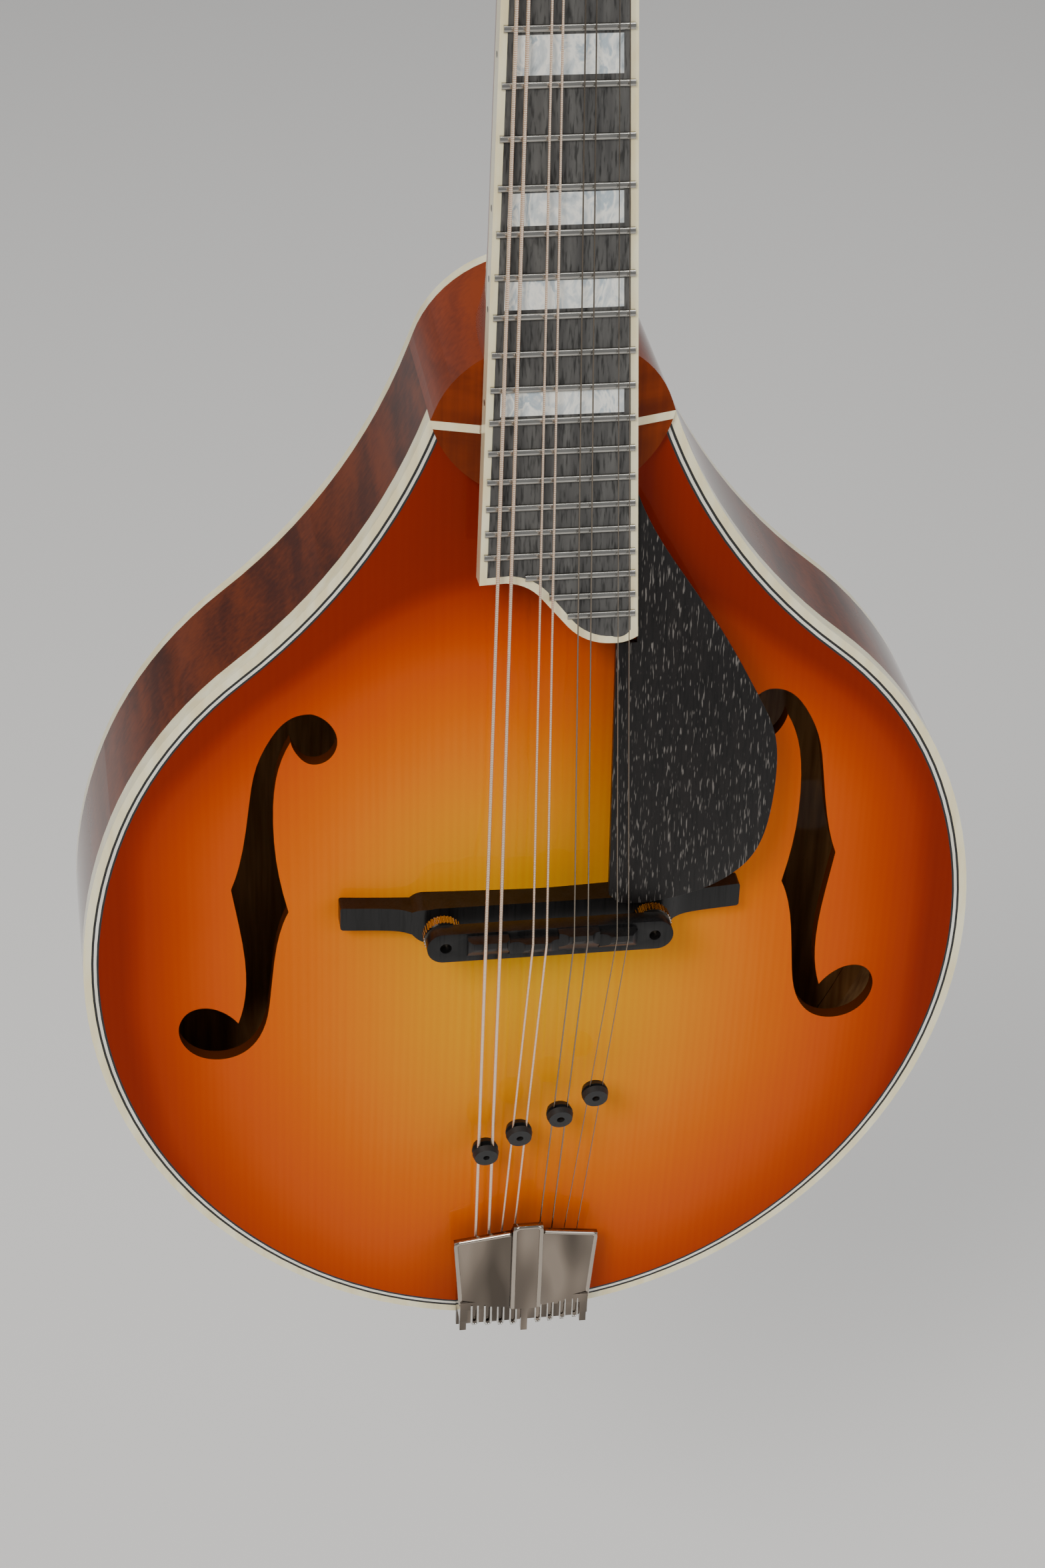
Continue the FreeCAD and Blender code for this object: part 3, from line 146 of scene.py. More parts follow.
def bareInside(tree, outer, part):
    geometry = addNode(tree, "ShaderNodeNewGeometry")
    fibre = noiseNode(tree, boxInside["fibreScale"], detail=3.0, stretch=(1, 1, 0.05))
    bare = rampNode(tree, fibre, [(0.3, boxInside["woodDark"]), (0.7, boxInside["woodLight"])])
    if part == "ribs":
        coords = addNode(tree, "ShaderNodeTexCoord")
        fromMiddle = addNode(tree, "ShaderNodeVectorMath", operation="SUBTRACT")
        tree.links.new(coords.outputs["Object"], fromMiddle.inputs[0])
        fromMiddle.inputs[1].default_value = boxInside["middle"]
        facing = addNode(tree, "ShaderNodeVectorMath", operation="DOT_PRODUCT")
        tree.links.new(fromMiddle.outputs[0], facing.inputs[0])
        tree.links.new(geometry.outputs["True Normal"], facing.inputs[1])
        inside = mathNode(tree, "LESS_THAN", facing.outputs["Value"], boxInside["ribsInward"])
        return mixColours(tree, inside, outer, bare)
    split = addNode(tree, "ShaderNodeSeparateXYZ")
    tree.links.new(geometry.outputs["True Normal"], split.inputs[0])
    inward = mathNode(tree, "MULTIPLY", split.outputs[1], 1.0 if part == "top" else -1.0)
    walls = mathNode(tree, "GREATER_THAN", inward, -boxInside["wallLean"])
    stained = mixColours(tree, walls, outer, boxInside["wallStain"])
    inside = mathNode(tree, "GREATER_THAN", inward, boxInside["wallLean"])
    return mixColours(tree, inside, stained, bare)


# lacquered spruce with a sunburst
topFinish = {"burstMiddle": 0.150, "burstHeight": 0.155, "burstWidth": 0.118, "squareness": 2.4,
             "neckNarrowing": 0.55, "narrowFrom": 0.03, "narrowTo": 0.19,
             "neckShade": 0.22, "shadeFrom": 0.19, "shadeTo": 0.30,
             "cloudScale": 14.0, "cloudStrength": 0.10,
             "grainSpacing": 0.0022, "grainWander": 5.0, "grainStrength": 0.312,
             "grainTint": srgb(236, 178, 138), "lineShare": 0.35, "along": 0.02,
             "fibreScale": 900.0, "silkScale": 60.0, "silkStrength": 0.22, "silkTint": (1.0, 0.80, 0.6),
             "roughness": 0.4, "coatRoughness": 0.032}
burstColours = [(0.0, (0.80, 0.44, 0.0)), (0.30, (0.80, 0.31, 0.0)), (0.54, (0.74, 0.155, 0.0)),
                (0.78, (0.58, 0.075, 0.0)), (0.94, (0.34, 0.026, 0.0)), (1.0, (0.22, 0.012, 0.0))]
waveRatio = 0.31  # a band texture of scale 1 repeats about every 0.31 m


def splitCoords(tree):
    coords = addNode(tree, "ShaderNodeTexCoord")
    split = addNode(tree, "ShaderNodeSeparateXYZ")
    tree.links.new(coords.outputs["Object"], split.inputs[0])
    return split.outputs[0], split.outputs[1], split.outputs[2]


def burstFactor(tree, size):
    across, _, upward = splitCoords(tree)
    height = mathNode(tree, "SUBTRACT", upward, size["burstMiddle"])
    narrowing = addNode(tree, "ShaderNodeMapRange", interpolation_type="SMOOTHSTEP")
    tree.links.new(height, narrowing.inputs["Value"])
    narrowing.inputs["From Min"].default_value = size["narrowFrom"]
    narrowing.inputs["From Max"].default_value = size["narrowTo"]
    narrowing.inputs["To Min"].default_value = size["burstWidth"]
    narrowing.inputs["To Max"].default_value = size["burstWidth"] * (1 - size["neckNarrowing"])
    side = mathNode(tree, "DIVIDE", across, narrowing.outputs["Result"])
    rise = mathNode(tree, "DIVIDE", height, size["burstHeight"])
    sidePower = mathNode(tree, "POWER", mathNode(tree, "ABSOLUTE", side), size["squareness"])
    risePower = mathNode(tree, "POWER", mathNode(tree, "ABSOLUTE", rise), size["squareness"])
    powers = mathNode(tree, "ADD", sidePower, risePower)
    reach = mathNode(tree, "POWER", powers, 1 / size["squareness"])
    shade = addNode(tree, "ShaderNodeMapRange", interpolation_type="SMOOTHSTEP")
    tree.links.new(upward, shade.inputs["Value"])
    shade.inputs["From Min"].default_value = size["shadeFrom"]
    shade.inputs["From Max"].default_value = size["shadeTo"]
    shade.inputs["To Max"].default_value = size["neckShade"]
    reach = mathNode(tree, "ADD", reach, shade.outputs["Result"])
    cloud = mathNode(tree, "SUBTRACT", noiseNode(tree, size["cloudScale"], detail=2.0), 0.5)
    return mathNode(tree, "ADD", reach, mathNode(tree, "MULTIPLY", cloud, size["cloudStrength"]))


def spruceTop(size):
    material, tree, shader = newMaterial("sunburstSpruce")
    colour = rampNode(tree, burstFactor(tree, size), burstColours, "B_SPLINE")
    lines = addNode(tree, "ShaderNodeTexWave", wave_type="BANDS", bands_direction="X")
    lines.inputs["Scale"].default_value = waveRatio / size["grainSpacing"]
    lines.inputs["Distortion"].default_value = size["grainWander"]
    lines.inputs["Detail"].default_value = 3.0
    lines.inputs["Detail Scale"].default_value = 0.6
    stretch = (1, size["along"], size["along"])
    tree.links.new(objectCoords(tree, stretch), lines.inputs["Vector"])
    fibres = noiseNode(tree, size["fibreScale"], detail=2.0, stretch=stretch)
    lineShare = mathNode(tree, "MULTIPLY", lines.outputs["Fac"], size["lineShare"])
    fibreShare = mathNode(tree, "MULTIPLY", fibres, 1 - size["lineShare"])
    grain = mathNode(tree, "ADD", lineShare, fibreShare)
    dark = mixColours(tree, 1.0, colour, size["grainTint"], "MULTIPLY")
    amount = mathNode(tree, "MULTIPLY", grain, size["grainStrength"])
    grained = mixColours(tree, amount, colour, dark)
    silk = noiseNode(tree, size["silkScale"], detail=2.0, stretch=(0.35, 1, 2.2))
    silky = mixColours(tree, 1.0, grained, size["silkTint"], "MULTIPLY")
    final = mixColours(tree, mathNode(tree, "MULTIPLY", silk, size["silkStrength"]), grained, silky)
    tree.links.new(bareInside(tree, final, "top"), shader.inputs["Base Color"])
    addLacquer(shader, size["roughness"], size["coatRoughness"])
    addBump(tree, shader, grain, strength=0.05, distance=0.00005)
    return material


# stained maple for the back, sides and neck
mapleFinish = {"flameSpacing": 0.015, "flameWander": 0.6, "flameShare": 0.75, "fibreScale": 700.0,
               "roughness": 0.36, "coatRoughness": 0.035}
backBurst = {"dark": (0.62, 0.16, 0.004), "light": (0.98, 0.36, 0.012), "from": 0.35, "to": 0.95}


def stainedMaple(name, light, dark, size):
    material, tree, shader = newMaterial(name)
    flame = noiseNode(tree, 1 / size["flameSpacing"], detail=3.0, stretch=(0.35, 0.35, 1.6),
                      distortion=size["flameWander"])
    fibre = noiseNode(tree, size["fibreScale"], detail=2.0, stretch=(1, 1, 0.03))
    flameShare = mathNode(tree, "MULTIPLY", flame, size["flameShare"])
    fibreShare = mathNode(tree, "MULTIPLY", fibre, 1 - size["flameShare"])
    figure = mathNode(tree, "ADD", flameShare, fibreShare)
    colour = rampNode(tree, figure, [(0.32, dark), (0.68, light)], "EASE")
    if size.get("burst"):
        burst = burstFactor(tree, topFinish)
        middle = rampNode(tree, figure, [(0.30, backBurst["dark"]), (0.70, backBurst["light"])],
                          "EASE")
        edge = rampNode(tree, burst, [(backBurst["from"], (0, 0, 0)), (backBurst["to"], (1, 1, 1))],
                        "EASE")
        colour = mixColours(tree, edge, middle, colour)
    if size.get("hollow"):
        colour = bareInside(tree, colour, size["hollow"])
    tree.links.new(colour, shader.inputs["Base Color"])
    addLacquer(shader, size["roughness"], size["coatRoughness"])
    addBump(tree, shader, fibre, strength=0.04, distance=0.00004)
    return material


bareFinish = {"fibreScale": 500.0, "along": 0.04, "dark": srgb(150, 100, 58),
              "light": srgb(196, 148, 96), "roughness": 0.75}


def bareWood():
    material, tree, shader = newMaterial("bareSpruce")
    fibre = noiseNode(tree, bareFinish["fibreScale"], stretch=(1, 1, bareFinish["along"]))
    colour = rampNode(tree, fibre, [(0.3, bareFinish["dark"]), (0.7, bareFinish["light"])])
    tree.links.new(colour, shader.inputs["Base Color"])
    shader.inputs["Roughness"].default_value = bareFinish["roughness"]
    addBump(tree, shader, fibre, strength=0.2, distance=0.0001)
    return material


# ebony, shell, ivoroid, metals, rubber
ebonyGrain = {"pores": 1500.0, "tone": 320.0, "flecks": 2600.0, "along": 0.05, "flecksAlong": 0.07,
              "fleckColour": srgb(196, 188, 180), "specular": 0.3}


def ebony(name, base, streak, poreStrength, roughness, fleck=0.0):
    material, tree, shader = newMaterial(name)
    pores = noiseNode(tree, ebonyGrain["pores"], stretch=(1, 1, ebonyGrain["along"]))
    tone = noiseNode(tree, ebonyGrain["tone"], stretch=(1, 1, ebonyGrain["along"]))
    tones = rampNode(tree, tone, [(0.3, base), (0.75, streak)])
    shade = rampNode(tree, pores, [(0.34, (0.35, 0.35, 0.35)), (0.50, (1, 1, 1))])
    colour = mixColours(tree, 1.0, tones, shade, "MULTIPLY")
    if fleck:
        dashes = noiseNode(tree, ebonyGrain["flecks"], detail=1.0,
                           stretch=(1, 1, ebonyGrain["flecksAlong"]))
        marks = rampNode(tree, dashes, [(0.62, (0, 0, 0)), (0.70, (fleck, fleck, fleck))])
        colour = mixColours(tree, marks, colour, ebonyGrain["fleckColour"])
    tree.links.new(colour, shader.inputs["Base Color"])
    shader.inputs["Roughness"].default_value = roughness
    shader.inputs["Specular IOR Level"].default_value = ebonyGrain["specular"]
    addBump(tree, shader, pores, strength=poreStrength, distance=0.0001)
    return material


shellGloss = {"swirlWander": 2.2, "swirlShare": 0.75, "fineScale": 420.0, "fineWander": 1.2,
              "roughness": 0.22, "specular": 0.7, "coat": 0.6, "coatRoughness": 0.08}


def motherOfPearl(name, scale, stops):
    material, tree, shader = newMaterial(name)
    swirl = noiseNode(tree, scale, detail=5.0, stretch=(1, 1, 0.6),
                      distortion=shellGloss["swirlWander"])
    fine = noiseNode(tree, shellGloss["fineScale"], stretch=(1, 1, 0.5),
                     distortion=shellGloss["fineWander"])
    swirlShare = mathNode(tree, "MULTIPLY", swirl, shellGloss["swirlShare"])
    fineShare = mathNode(tree, "MULTIPLY", fine, 1 - shellGloss["swirlShare"])
    colour = rampNode(tree, mathNode(tree, "ADD", swirlShare, fineShare), stops, "EASE")
    tree.links.new(colour, shader.inputs["Base Color"])
    shader.inputs["Roughness"].default_value = shellGloss["roughness"]
    shader.inputs["Specular IOR Level"].default_value = shellGloss["specular"]
    shader.inputs["Coat Weight"].default_value = shellGloss["coat"]
    shader.inputs["Coat Roughness"].default_value = shellGloss["coatRoughness"]
    addBump(tree, shader, swirl, strength=0.1, distance=0.0001)
    return material


ivoroidGloss = {"roughness": 0.3, "glow": 0.08, "glowReach": (0.001, 0.0008, 0.0005), "coat": 0.8,
                "coatRoughness": 0.06, "layerScale": 260.0}


def ivoroid(name, light, dark):
    material, tree, shader = newMaterial(name)
    layers = noiseNode(tree, ivoroidGloss["layerScale"], detail=2.0, stretch=(1, 1, 0.2))
    colour = rampNode(tree, layers, [(0.35, dark), (0.65, light)])
    tree.links.new(colour, shader.inputs["Base Color"])
    shader.inputs["Roughness"].default_value = ivoroidGloss["roughness"]
    shader.inputs["Subsurface Weight"].default_value = ivoroidGloss["glow"]
    shader.inputs["Subsurface Radius"].default_value = ivoroidGloss["glowReach"]
    shader.inputs["Coat Weight"].default_value = ivoroidGloss["coat"]
    shader.inputs["Coat Roughness"].default_value = ivoroidGloss["coatRoughness"]
    return material


def shaded(colour, part):
    return tuple(value * part for value in colour)


metalMarks = {"smearScale": 180.0, "shade": 0.9}


def polishedMetal(name, colour, roughness, marks=0.06):
    material, tree, shader = newMaterial(name)
    smear = noiseNode(tree, metalMarks["smearScale"], detail=4.0)
    tone = rampNode(tree, smear, [(0.3, shaded(colour, metalMarks["shade"])), (0.7, colour)])
    tree.links.new(tone, shader.inputs["Base Color"])
    shader.inputs["Metallic"].default_value = 1.0
    rough = mathNode(tree, "ADD", mathNode(tree, "MULTIPLY", smear, marks), roughness)
    tree.links.new(rough, shader.inputs["Roughness"])
    return material


# the tailpiece's dark and middle patches are painted reflections of dark surroundings; the smears,
# roughness and waves are the metal's own
tailFinishAndPaintedReflections = {"smearScale": 90.0, "paintedReflectionScale": 60.0, "darkPaintedReflection": 0.30, "middlePaintedReflection": 0.55,
              "marks": 0.06, "roughness": 0.04, "waveScale": 70.0, "waveStrength": 0.35,
              "waveDepth": 0.0006}


def wavyNickel(name, colour):
    material, tree, shader = newMaterial(name)
    smear = noiseNode(tree, tailFinishAndPaintedReflections["smearScale"], detail=4.0, stretch=(1, 1, 0.5))
    # painted reflections: blotches of darker colour stand in for the dark surroundings mirrored in the
    # tailpiece
    paintedReflections = noiseNode(tree, tailFinishAndPaintedReflections["paintedReflectionScale"], detail=1.0, stretch=(1.4, 1, 0.4))
    tone = rampNode(tree, paintedReflections, [(0.36, shaded(colour, tailFinishAndPaintedReflections["darkPaintedReflection"])),
                                    (0.50, shaded(colour, tailFinishAndPaintedReflections["middlePaintedReflection"])),
                                    (0.64, colour)])
    tree.links.new(tone, shader.inputs["Base Color"])
    shader.inputs["Metallic"].default_value = 1.0
    marks = mathNode(tree, "MULTIPLY", smear, tailFinishAndPaintedReflections["marks"])
    rough = mathNode(tree, "ADD", marks, tailFinishAndPaintedReflections["roughness"])
    tree.links.new(rough, shader.inputs["Roughness"])
    waves = noiseNode(tree, tailFinishAndPaintedReflections["waveScale"], detail=1.0)
    addBump(tree, shader, waves, tailFinishAndPaintedReflections["waveStrength"], tailFinishAndPaintedReflections["waveDepth"])
    return material


blackSpecks = {"scale": 900.0, "light": 1.7}


def blackPart(name, colour, roughness, bumpStrength):
    material, tree, shader = newMaterial(name)
    speck = noiseNode(tree, blackSpecks["scale"])
    tone = rampNode(tree, speck, [(0.3, colour), (0.7, shaded(colour, blackSpecks["light"]))])
    tree.links.new(tone, shader.inputs["Base Color"])
    shader.inputs["Roughness"].default_value = roughness
    addBump(tree, shader, speck, strength=bumpStrength, distance=0.0001)
    return material


# the dark and light colours of the wound strings are painted groove shade and painted crest highlight
wrapSizesAndPaintedShade = {"spacing": 0.00052, "dark": srgb(214, 158, 120), "light": srgb(255, 236, 214),
             "roughness": 0.3}


def woundString():
    material, tree, shader = newMaterial("bronzeWrap")
    wrap = addNode(tree, "ShaderNodeTexWave", wave_type="BANDS", bands_direction="Z")
    wrap.inputs["Scale"].default_value = waveRatio / wrapSizesAndPaintedShade["spacing"]
    tree.links.new(objectCoords(tree), wrap.inputs["Vector"])
    # painted shade in the grooves between the winds and a painted highlight on their crests; the bump
    # gives the winds their real relief
    tone = rampNode(tree, wrap.outputs["Fac"],
                    [(0.0, wrapSizesAndPaintedShade["dark"]), (0.5, wrapSizesAndPaintedShade["light"])])
    tree.links.new(tone, shader.inputs["Base Color"])
    shader.inputs["Metallic"].default_value = 1.0
    shader.inputs["Roughness"].default_value = wrapSizesAndPaintedShade["roughness"]
    addBump(tree, shader, wrap.outputs["Fac"], strength=0.5, distance=0.00008)
    return material


spruce = spruceTop(topFinish)
sideMaple = stainedMaple("sideMaple", (0.15, 0.024, 0.001), (0.045, 0.006, 0.0005),
                         {**mapleFinish, "hollow": "ribs"})
backMaple = stainedMaple("backMaple", (0.26, 0.045, 0.002), (0.085, 0.011, 0.001),
                         {**mapleFinish, "hollow": "back", "burst": True})
neckMaple = stainedMaple("neckMaple", (0.24, 0.034, 0.003), (0.12, 0.016, 0.002), mapleFinish)
insideWood = bareWood()
boardEbony = ebony("boardEbony", srgb(66, 65, 64), srgb(98, 97, 94), poreStrength=0.2,
                   roughness=0.55)
guardEbony = ebony("guardEbony", srgb(15, 12, 12), srgb(26, 22, 21), poreStrength=0.35,
                   roughness=0.4, fleck=0.26)
headEbony = ebony("headEbony", srgb(12, 11, 11), srgb(22, 20, 20), poreStrength=0.15,
                  roughness=0.22)
bridgeEbony = ebony("bridgeEbony", srgb(16, 15, 15), srgb(27, 26, 26), poreStrength=0.15,
                    roughness=0.33)
pearl = motherOfPearl("motherOfPearl", scale=120.0, stops=[
    (0.25, srgb(140, 152, 160)), (0.40, srgb(206, 213, 214)), (0.50, srgb(244, 244, 236)),
    (0.60, srgb(178, 192, 200)), (0.72, srgb(232, 230, 222))])
ivory = ivoroid("ivoroid", srgb(250, 242, 206), srgb(240, 226, 178))
bone = ivoroid("bone", srgb(232, 226, 204), srgb(218, 208, 178))
nickel = polishedMetal("polishedNickel", srgb(176, 166, 154), roughness=0.07, marks=0.04)
# the tailpiece nickel is given a darker, browner colour than the other nickel as painted dark
# reflection
tailNickel = wavyNickel("tailNickel", srgb(150, 138, 126))
fretMetal = polishedMetal("fretMetal", srgb(172, 170, 164), roughness=0.22)
steelWire = polishedMetal("steelWire", srgb(138, 128, 116), roughness=0.2)
hookWire = polishedMetal("hookWire", srgb(214, 212, 206), roughness=0.12)
rubber = blackPart("blackRubber", srgb(20, 20, 21), roughness=0.55, bumpStrength=0.2)
blackLine = blackPart("blackFibre", srgb(16, 15, 15), roughness=0.3, bumpStrength=0.02)
whiteLine = ivoroid("whiteFibre", srgb(238, 236, 226), srgb(226, 222, 206))
bronze = woundString()
pearloid = motherOfPearl("pearloid", scale=70.0, stops=[
    (0.30, srgb(176, 168, 148)), (0.46, srgb(226, 220, 202)), (0.56, srgb(244, 240, 226)),
    (0.70, srgb(198, 190, 170))])
print("materials made")

finishOf = {
    "top_plate": spruce, "back_plate": backMaple, "ribs": sideMaple, "head_block": insideWood,
    "tail_block": insideWood, "top_lining": insideWood, "back_lining": insideWood,
    "tone_bars": insideWood, "top_binding": ivory, "back_binding": ivory, "joint_strip": ivory,
    "neck": neckMaple, "fingerboard": boardEbony, "position_inlays": pearl,
    "fingerboard_binding": ivory, "side_dots": blackLine, "frets": fretMetal, "nut": bone,
    "truss_rod": steelWire, "truss_rod_nut": steelWire, "headstock_binding": ivory,
    "headstock_overlay": headEbony, "truss_rod_cover": blackLine, "truss_cover_screws": nickel,
    "tuner_plate_bass": nickel, "tuner_plate_treble": nickel, "plate_screws": nickel,
    "post_bushings": nickel, "bridge_base": bridgeEbony, "bridge_posts": steelWire,
    "bridge_saddle": bridgeEbony, "thumbwheel_bass": nickel, "thumbwheel_treble": nickel,
    "tailpiece": tailNickel, "tailpiece_screws": nickel, "strap_button": nickel,
    "string_dampers": rubber, "pickguard": guardEbony, "pickguard_support": bridgeEbony,
    "strings_g": bronze, "strings_d": bronze, "strings_a": steelWire, "strings_e": steelWire,
}
for name in nodes:
    if name.startswith(("tuner_post", "tuner_key")):
        finishOf[name] = nickel
for name, material in finishOf.items():
    for place in nodes[name].material_slots:
        place.material = material
print("finishes put on")


# copies of frame pieces, for those that need more than one finish or a changed mesh
mergeWithin = 1e-6


def copyOf(name, title):
    piece = nodes[name].copy()
    piece.data = nodes[name].data.copy()
    piece.name = title
    bpy.context.scene.collection.objects.link(piece)
    return piece


def openMesh(piece):
    work = bmesh.new()
    work.from_mesh(piece.data)
    bmesh.ops.remove_doubles(work, verts=work.verts, dist=mergeWithin)
    return work


def closeMesh(work, piece, sharpAngle):
    bmesh.ops.triangulate(work, faces=work.faces)
    openCount = sum(1 for edge in work.edges if len(edge.link_faces) != 2)
    work.to_mesh(piece.data)
    work.free()
    piece.data.set_sharp_from_angle(angle=math.radians(sharpAngle))
    for face in piece.data.polygons:
        face.use_smooth = True
    return openCount


# pieces made by following a path or by repeating
def newTree(name, inputs):
    tree = bpy.data.node_groups.new(name, "GeometryNodeTree")
    tree.interface.new_socket("Geometry", in_out="INPUT", socket_type="NodeSocketGeometry")
    sockets = {}
    for title, kind in inputs:
        item = tree.interface.new_socket(title, in_out="INPUT", socket_type=kind)
        sockets[title] = item.identifier
    tree.interface.new_socket("Geometry", in_out="OUTPUT", socket_type="NodeSocketGeometry")
    return tree, sockets, tree.nodes.new("NodeGroupInput"), tree.nodes.new("NodeGroupOutput")


def finishTree(tree, entry, result, geometry):
    realize = tree.nodes.new("GeometryNodeRealizeInstances")
    finish = tree.nodes.new("GeometryNodeSetMaterial")
    tree.links.new(geometry, realize.inputs[0])
    tree.links.new(realize.outputs[0], finish.inputs["Geometry"])
    tree.links.new(entry.outputs["Material"], finish.inputs["Material"])
    tree.links.new(finish.outputs[0], result.inputs[0])


def runTree(tree, sockets, values, title, vertices=((0, 0, 0),), edges=()):
    seed = bpy.data.meshes.new(title + "Seed")
    seed.from_pydata([tuple(v) for v in vertices], list(edges), [])
    holder = bpy.data.objects.new(title, seed)
    bpy.context.scene.collection.objects.link(holder)
    modifier = holder.modifiers.new("build", "NODES")
    modifier.node_group = tree
    for name, value in values.items():
        modifier[sockets[name]] = value
    holder.update_tag()
    bpy.context.view_layer.update()
    evaluated = holder.evaluated_get(bpy.context.evaluated_depsgraph_get())
    made = bpy.data.meshes.new_from_object(evaluated)
    holder.modifiers.remove(modifier)
    holder.data = made
    for face in made.polygons:
        face.use_smooth = True
    return holder


sweepSteps = {"coilTurn": 40, "coilWire": 10, "rodCorner": 6, "rodRing": 14}


# a wire wound into a coil, its axis along Z and its foot at the origin
def coilTree():
    tree, sockets, entry, result = newTree("woundCoil", [
        ("Radius", "NodeSocketFloat"), ("Turns", "NodeSocketFloat"), ("Pitch", "NodeSocketFloat"),
        ("Wire", "NodeSocketFloat"), ("Material", "NodeSocketMaterial")])
    spiral = tree.nodes.new("GeometryNodeCurveSpiral")
    spiral.inputs["Resolution"].default_value = sweepSteps["coilTurn"]
    height = tree.nodes.new("ShaderNodeMath")
    height.operation = "MULTIPLY"
    tree.links.new(entry.outputs["Turns"], height.inputs[0])
    tree.links.new(entry.outputs["Pitch"], height.inputs[1])
    tree.links.new(entry.outputs["Turns"], spiral.inputs["Rotations"])
    tree.links.new(entry.outputs["Radius"], spiral.inputs["Start Radius"])
    tree.links.new(entry.outputs["Radius"], spiral.inputs["End Radius"])
    tree.links.new(height.outputs[0], spiral.inputs["Height"])
    profile = tree.nodes.new("GeometryNodeCurvePrimitiveCircle")
    profile.inputs["Resolution"].default_value = sweepSteps["coilWire"]
    tree.links.new(entry.outputs["Wire"], profile.inputs["Radius"])
    sweep = tree.nodes.new("GeometryNodeCurveToMesh")
    sweep.inputs["Fill Caps"].default_value = True
    tree.links.new(spiral.outputs[0], sweep.inputs["Curve"])
    tree.links.new(profile.outputs[0], sweep.inputs["Profile Curve"])
    finishTree(tree, entry, result, sweep.outputs[0])
    return tree, sockets


# a rod swept along the edges of the seed mesh, its corners rounded
def rodTree():
    tree, sockets, entry, result = newTree("rodOnPath", [
        ("Radius", "NodeSocketFloat"), ("Corner", "NodeSocketFloat"),
        ("Material", "NodeSocketMaterial")])
    path = tree.nodes.new("GeometryNodeMeshToCurve")
    tree.links.new(entry.outputs["Geometry"], path.inputs[0])
    rounded = tree.nodes.new("GeometryNodeFilletCurve")
    rounded.mode = "POLY"
    rounded.inputs["Count"].default_value = sweepSteps["rodCorner"]
    rounded.inputs["Limit Radius"].default_value = True
    tree.links.new(path.outputs[0], rounded.inputs["Curve"])
    tree.links.new(entry.outputs["Corner"], rounded.inputs["Radius"])
    profile = tree.nodes.new("GeometryNodeCurvePrimitiveCircle")
    profile.inputs["Resolution"].default_value = sweepSteps["rodRing"]
    tree.links.new(entry.outputs["Radius"], profile.inputs["Radius"])
    sweep = tree.nodes.new("GeometryNodeCurveToMesh")
    sweep.inputs["Fill Caps"].default_value = True
    tree.links.new(rounded.outputs[0], sweep.inputs["Curve"])
    tree.links.new(profile.outputs[0], sweep.inputs["Profile Curve"])
    finishTree(tree, entry, result, sweep.outputs[0])
    return tree, sockets


coil, coilSockets = coilTree()
rod, rodSockets = rodTree()

# where the neck starts on the body, and the head on the neck, each leaning back from the one below
neckSizes = {"start": (0, -0.0375, 0.322), "lean": -6.5, "headStart": (0, 0.0012, 0.20873),
             "headLean": -13.0, "postAcross": 0.017, "postPlaces": (0.046, 0.069, 0.092, 0.115)}


def leaning(start, lean):
    return Matrix.Translation(start) @ Matrix.Rotation(math.radians(lean), 4, "X")


headTurn = (leaning(neckSizes["start"], neckSizes["lean"])
            @ leaning(neckSizes["headStart"], neckSizes["headLean"]))

# strings wound on the posts
windingSizes = {"postRadius": 0.0030, "bassTurns": 3.5, "trebleTurns": 5.5, "tightness": 1.06,
                "bed": 0.9, "front": -0.0055, "stagger": 0.001}
windingWires = {"bass": [(0.00050, bronze), (0.00033, bronze)],  # posts nearest the nut first
                "treble": [(0.00014, steelWire), (0.000205, steelWire)]}
for word, side in (("bass", -1), ("treble", 1)):
    for post in range(4):
        wire, material = windingWires[word][post // 2]
        winding = runTree(coil, coilSockets, {
            "Radius": windingSizes["postRadius"] + wire * windingSizes["bed"],
            "Turns": windingSizes[word + "Turns"],
            "Pitch": wire * 2 * windingSizes["tightness"], "Wire": wire, "Material": material},
            f"winding_{word}_{post + 1}")
        front = windingSizes["front"] - windingSizes["stagger"] * (post % 2)
        place = Matrix.Translation((side * neckSizes["postAcross"], front,
                                    neckSizes["postPlaces"][post]))
        face = (Matrix.Rotation(math.radians(-90), 4, "X")
                @ Matrix.Rotation(math.radians(90 - side * 90), 4, "Z"))
        winding.data.transform(headTurn @ place @ face)
        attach(winding, f"post_{word}_{post + 1}")
print("strings wound on the posts")

# worm threads and two-tone tuner keys
keySizes = {"buttonEdge": 0.0372, "threadTurns": 4.0, "threadPitch": 0.0012, "threadWire": 0.00026,
            "wormRadius": 0.0024, "wormBehind": 0.0183, "wormAbove": 0.00775}
for word, side in (("bass", -1), ("treble", 1)):
    for post in range(4):
        name = f"tuner_key_{word}_{post + 1}"
        key = copyOf(name, f"key_{word}_{post + 1}")
        key.data.materials.clear()
        key.data.materials.append(nickel)
        key.data.materials.append(pearloid)
        for face in key.data.polygons:
            if abs(face.center.x) > keySizes["buttonEdge"]:
                face.material_index = 1
        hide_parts(name)
        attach(key, f"key_{word}_{post + 1}")
        thread = runTree(coil, coilSockets, {
            "Radius": keySizes["wormRadius"], "Turns": keySizes["threadTurns"],
            "Pitch": keySizes["threadPitch"], "Wire": keySizes["threadWire"], "Material": nickel},
            f"worm_{word}_{post + 1}")
        length = keySizes["threadTurns"] * keySizes["threadPitch"]
        place = Matrix.Translation((side * neckSizes["postAcross"], keySizes["wormBehind"],
                                    neckSizes["postPlaces"][post] + keySizes["wormAbove"]))
        thread.data.transform(headTurn @ place @ Matrix.Rotation(math.radians(90), 4, "Y")
                              @ Matrix.Translation((0, 0, -length / 2)))
        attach(thread, f"key_{word}_{post + 1}")
print("tuner keys finished")

